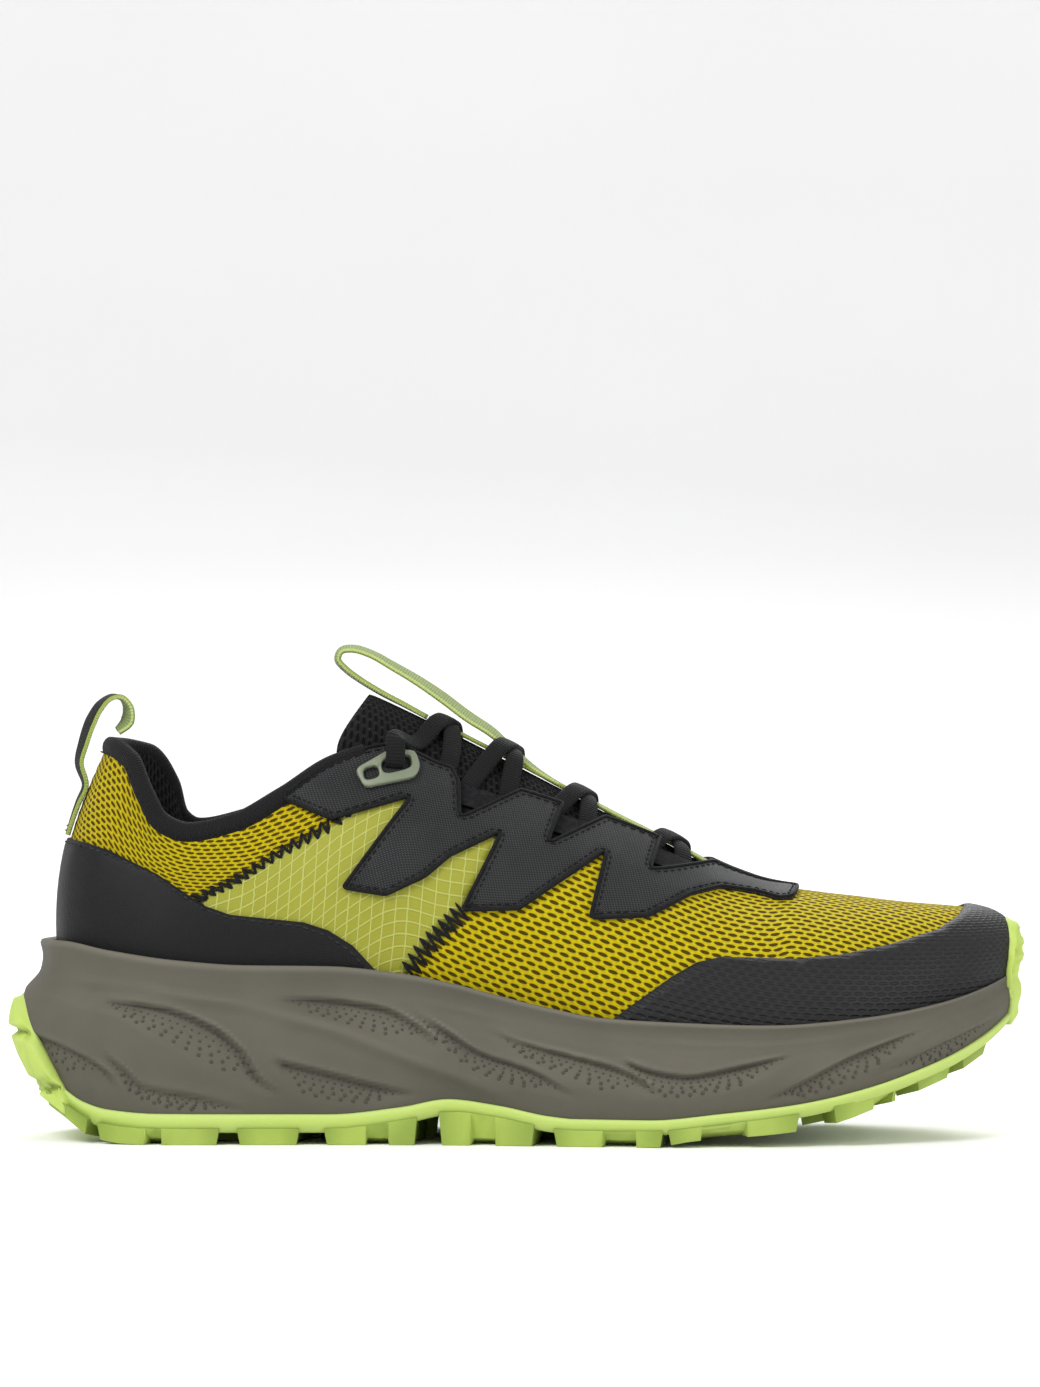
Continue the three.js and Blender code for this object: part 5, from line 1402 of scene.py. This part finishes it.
def pullStrap():
    lift = 0.3 + 0.6
    low = [tonguePoint(x, 0, lift) for x in (66, 58, 48, 38, 28, 19, 11)]
    rise = [(5.5, 0, tongueZ(5.5) + 1.6), (-1, 0, tongueZ(-1) + 3.4), (-8, 0, 118.6), (-15, 0, 123.2),
            (-23, 0, 129.2), (-30, 0, 133.9), (-37, 0, 138), (-43.5, 0, 141.6), (-48.8, 0, 143.2),
            (-52.4, 0, 142.6), (-53.4, 0, 140), (-51, 0, 137.1), (-46.5, 0, 133.8), (-40, 0, 129.9),
            (-34, 0, 126.8), (-27, 0, 123)]
    twist = [0] * 7 + [-3, -8, -12, -14, -14, -12, -10, -8, -8, -7, -6, -5, -4, -3, -2, 0]
    obj = ribbon("pull_strap_tape", np.vstack([np.array(low), rise]), 6, 9.6, 1.5,
                 [finish["limeTape"], finish["darkTape"]], twist=twist, mats=lambda j: 1 if j >= 8 else 0,
                 body=None, slot="strap_webbing")
    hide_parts("pull_strap", "strap_bridge", "strap_loop")
    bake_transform(obj)
    side = [tonguePoint(x, 0, lift) for x in (-27, -20, -13, -6, 1, 8, 14)]
    under = ribbon("pull_strap_return", np.array(side), 5, 9.6, 1.2, [finish["darkTape"]], slot="strap_webbing")
    return under


def heelLoop():
    z = np.array([88.5, 93, 98, 103])
    rises = np.linspace(0, 1, 120)
    column = upperPoint(np.zeros(120), rises, -0.75)
    out = np.interp(z, column[:, 2], column[:, 0])
    sewn = [(x - 0.35, 0, h) for x, h in zip(out, z)]
    free = [(-129.6, 0, 109.5), (-128.3, 0, 115.4), (-126.2, 0, 121.6), (-123.4, 0, 126.4), (-120, 0, 128.9),
            (-117, 0, 128.6), (-115.2, 0, 125.8), (-115.4, 0, 122), (-118.2, 0, 118.9)]
    twist = [4, 5, 7, 9, 14, 18, 20, 16, 6, -6, -18, -24, -12]
    obj = ribbon("heel_loop_tape", np.array(sewn + free), 7, 9.4, 1.5, [finish["darkTape"], finish["limeTape"]],
                 twist=twist, mats=lambda j: 1 if j < 8 else 0, body=None, slot="loop_webbing")
    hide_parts("heel_tab", "heel_loop")
    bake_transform(obj)
    threads = []
    for h in (89.8, 91.2, 104.5):
        x = float(np.interp(h, column[:, 2], column[:, 0])) - 1.15
        for y in np.arange(-3.8, 3.4, 1.3):
            threads.append(((x, y, h), (x, y + 1, h), (-1, 0, 0.1)))
    stitchMesh("heel_tab_stitching", threads, finish["greyThread"], 0.2, slot="loop_webbing")


def strapAnchor():
    x, lift = 63.0, 0.3 + 1.2 + 0.4
    centre, up = tonguePoint(x, 0, lift), tongueNormal(np.array(x), np.array(0.0))
    fore = unit(np.cross([0, 1.0, 0], up))
    rings = []
    for scale, high in ((1.0, 0), (1.04, 0.35), (1.02, 0.8), (0.94, 1.15), (0.8, 1.35), (0.55, 1.3), (0.5, 1.05),
                        (0.2, 1.0)):
        turn = np.linspace(0, 2 * np.pi, 36, endpoint=False)
        rings.append([centre + fore * math.cos(k) * 4.0 * scale + np.array([0, 1, 0]) * math.sin(k) * 5.6 * scale
                      + up * high for k in turn])
    verts = np.array(rings).reshape(-1, 3)
    faces = [(r * 36 + i, r * 36 + (i + 1) % 36, (r + 1) * 36 + (i + 1) % 36, (r + 1) * 36 + i)
             for r in range(len(rings) - 1) for i in range(36)]
    faces += [tuple(range(36))[::-1], tuple(range((len(rings) - 1) * 36, len(rings) * 36))]
    obj = meshPiece("strap_anchor_cap", verts, faces, finish["dark"], np.zeros((len(verts), 2)),
                    slot="anchor_plastic")
    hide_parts("strap_anchor")


# ---- the lace
lace = {"width": 5.6, "thick": 1.35, "slotAlong": 0.4225, "slotRise": 0.9, "strap": 10.0, "strapStep": 1.5,
        "inside": 3.6}
low = 0.3 + 1.3 / 2 + 0.15  # clearance, half the tape, and a little slack
overStrap, overLace = 2.1, 3.3  # how high a crossing runs over the strap, and over the other lace
near = low + 0.5


def crossing(x, slant, towards, lift):
    reach = lace["strap"] / 2 + 1.0
    edge = lift + 0.15
    return [[x - slant * reach, -towards * reach, edge], [x, 0, lift], [x + slant * reach, towards * reach, edge]]


def strand(first):
    odd, even = (overLace, overStrap) if first else (overStrap, overLace)
    return [[-26.6, -12, near], *crossing(-22, .38, 1, odd), [-17.2, 12, near], [-15.6, 17, low],
            [-14.7, 18.8, low - .1], [-12.6, 20.2, low - .1], [-10.5, 18.8, low - .1], [-9.6, 17, low],
            [-8.4, 12, near], *crossing(-4.5, .36, -1, even + lace["strapStep"] + .35), [-0.4, -12, near],
            [1.6, -16.5, low], [4.4, -19, low], [9.4, -19, low], [12, -16.5, low],
            [13.8, -12, near], *crossing(18, .36, 1, odd), [22.2, 12, near], [24.2, 15.4, low],
            [27, 17.6, low], [34, 17.2, low], [37, 14.8, low], [39.4, 11, near],
            *crossing(44.5, .5, -1, even), [49.6, -10.5, near], [51.8, -13.4, low],
            [54.4, -15.2, low], [57.2, -13.6, low], [57.6, -10, near], [57.4, -6.4, overStrap + 1],
            [57.4, 0, overStrap]]


def slotFrame(side):
    a, r, s = (np.array(v, float) for v in (lace["slotAlong"], lace["slotRise"], side))
    out = upperNormal(a, r, s)
    fore = unit(upperMid(a + .01, r, s) - upperMid(a - .01, r, s))
    upward = unit(np.cross(fore, out) * side)
    return upperMid(a, r, s), out, fore, upward


def laceTail(side):
    at, out, fore, upward = slotFrame(side)
    w = lace["slotAlong"] if side == lateral else 2 - lace["slotAlong"]
    a, s = np.array(lace["slotAlong"]), np.array(float(side))
    inner = [(upperPoint(w, r, lace["inside"] + d), upperNormal(a, np.array(r), s))
             for r, d in ((0.62, 2), (0.7, 2), (0.8, 2.4))]
    return inner + [(at - out * 3, -upward), (at + out * 2.2, -upward), (at + out * 4.8 + upward * 2.4, out),
                    (at + out * 5.6 + upward * 7.4, out)]


def shoelace():
    route = []
    for side in (lateral, medial):
        run = [(tonguePoint(x, -side * y, h), tongueNormal(np.array(float(x)), np.array(-side * float(y))))
               for x, y, h in strand(side == lateral)]
        route.append(laceTail(side) + run)
    stations = route[0] + route[1][:-1][::-1]
    points = np.array([p for p, u in stations], float).reshape(-1, 3)
    ups = np.array([u for p, u in stations], float).reshape(-1, 3)
    count = 7
    run = catmull(points, count)
    t = np.arange(len(run)) / count
    turned = np.stack([np.interp(t, np.arange(len(ups)), ups[:, k]) for k in range(3)], -1)
    obj = sweep("shoelace_tape", run, ribbonProfile(lace["width"], lace["thick"], 0.12), unit(turned),
                finish["lace"], slot="lace_webbing")
    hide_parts("shoelace")


def eyeletPlate(side):
    half = "lateral" if side == lateral else "medial"
    at = slotFrame(side)[0]
    cx, cz = float(at[0]), float(at[2])

    def oval(x, z, wide, tall, lean, power=3.2):
        turn = np.linspace(0, 2 * np.pi, 28, endpoint=False)
        c, s = np.cos(turn), np.sin(turn)
        px = np.sign(c) * np.abs(c) ** (2 / power) * wide / 2
        pz = np.sign(s) * np.abs(s) ** (2 / power) * tall / 2
        k = math.radians(lean)
        return np.stack([x + px * math.cos(k) - pz * math.sin(k), z + px * math.sin(k) + pz * math.cos(k)], -1)

    body = [(-11.2, -1.4), (-8.2, -6.6), (5.6, -3.8), (6.9, -1.2), (5.2, 3.6), (-1.6, 3.9)]
    outline = eased([(cx + x, cz + z) for x, z in body], 1.5)
    loops = [resample(np.vstack([outline, outline[:1]]), 1.0)[:-1], oval(cx - 6.4, cz - 2.5, 4.4, 3.6, 15),
             oval(cx + 0.4, cz - 0.1, 8.0, 4.4, 14)]
    placedLoops = []
    for loop in loops:
        ring = seen(loop, side)
        flat = toFlat(ring)
        area = (flat[:, 0] * np.roll(flat[:, 1], -1) - np.roll(flat[:, 0], -1) * flat[:, 1]).sum()
        placedLoops.append(clean(ring if area > 0 else ring[::-1], 0.25))
    obj = layer(f"eyelet_plate_moulded_{half}", placedLoops, -3.2, -1.35, finish["plate"], step=1.6, roll=0.0,
                slot="eyelet_plastic")
    bevel(obj, 0.5, 3)
    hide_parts(f"eyelet_plate_{half}")


def sockliner():
    w = np.linspace(0, 2, 200, endpoint=False)
    a, side = ringSide(w)
    inset = curves["upperInset"](a) + lace["inside"] + 1.4
    rows = []
    bottom = lambda x: biteZ(x) - shoe["rimDepth"] + 1.9
    ring = soleInset(w, inset, lambda x: 0 * x)
    heel = np.clip((-60 - ring[:, 0]) / 50, 0, 1)
    for q, side2 in [(0.93, -1), (1.0, -1)] + [(q, 1) for q in np.linspace(1, 0.02, 22)]:
        p = ring.copy()
        p[:, 1] *= q
        cup = 3.2 * heel * q ** 5 + 1.0 * q ** 6
        p[:, 2] = bottom(p[:, 0]) + (0.2 if side2 < 0 else 4.4 + cup - 0.5 * (q > 0.99))
        rows.append(p)
    obj = ringShell("sockliner_cloth", rows, finish["lining"], slot="sockliner_fabric")
    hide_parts("sockliner")


finish["binding"] = webbingFinish("binding_tape", {"rib": 0.7, "cord": 0.8, "edge": 9, "depth": 0.3,
                                                   "base": tone(34, 34, 36), "dark": tone(14, 14, 15),
                                                   "trim": tone(34, 34, 36)})
finish["padKnit"] = knitFinish("black_knit_padding", dict(blackKnit, turn=70))
finish["tongueKnit"] = knitFinish("black_knit_tongue", dict(blackKnit, pitch=(2.4, 1.5), hole=(1.8, 0.95), turn=62))
collarBinding()
collarLining()
vampLining()
tonguePad()
pullStrap()
heelLoop()
strapAnchor()
shoelace()
for side in (lateral, medial):
    eyeletPlate(side)
sockliner()


# Inner pieces that keep their shape: boards, backers and the lace's tips.
for name, key in (("strobel_board", "board"), ("heel_counter", "board"), ("toe_puff", "board"),
                  ("eyestay_backer_lateral", "lining"), ("eyestay_backer_medial", "lining"),
                  ("aglet_lateral", "plate"), ("aglet_medial", "plate")):
    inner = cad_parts[name]
    inner.data.materials.clear()
    inner.data.materials.append(finish[key])
print("soft pieces ready")


# ---- the stage
def makeStage():
    look = Finish("pale_floor", rough=0.6, level=0.3)
    look.set("Base Color", look.noise(3, 2).blend((0.86, 0.86, 0.86, 1), (0.9, 0.9, 0.9, 1)))
    xs = np.array([-6000.0, 6000.0])
    ys = [-5000, 1500, 1900, 2250, 2520, 2700, 2780, 2800]
    zs = [0, 0, 60, 220, 480, 850, 1400, 5000]
    verts = [(x, y, z - 0.05) for y, z in zip(ys, zs) for x in xs]
    faces = [(2 * i, 2 * i + 1, 2 * i + 3, 2 * i + 2) for i in range(len(ys) - 1)]
    floor = meshPiece("floor", verts, faces, look.material, np.zeros((len(verts), 2)), body=None)


def makeLight(name, place, aim, size, power):
    data = bpy.data.lights.new(name, "AREA")
    data.shape, data.size, data.energy = "DISK", size, power
    light = bpy.data.objects.new(name, data)
    light.location = place
    light.rotation_euler = (Vector(aim) - Vector(place)).to_track_quat("-Z", "Y").to_euler()
    scene.collection.objects.link(light)


makeStage()
for name, place, aim, size, power in (("key", (-0.9, -1.3, 1.5), (0, 0, 0.06), 1.1, 34),
                                      ("fill", (1.5, -1.0, 0.8), (0, 0, 0.05), 1.2, 13),
                                      ("back", (0.2, 1.4, 1.3), (0, 0, 0.08), 1.2, 20)):
    makeLight(name, place, aim, size, power)
scene.world = bpy.data.worlds.new("studio")
scene.world.use_nodes = True
sky = scene.world.node_tree.nodes["Background"]
sky.inputs["Color"].default_value = (1, 1, 1, 1)
sky.inputs["Strength"].default_value = 0.75
scene.view_settings.view_transform = "Standard"
print("stage ready")
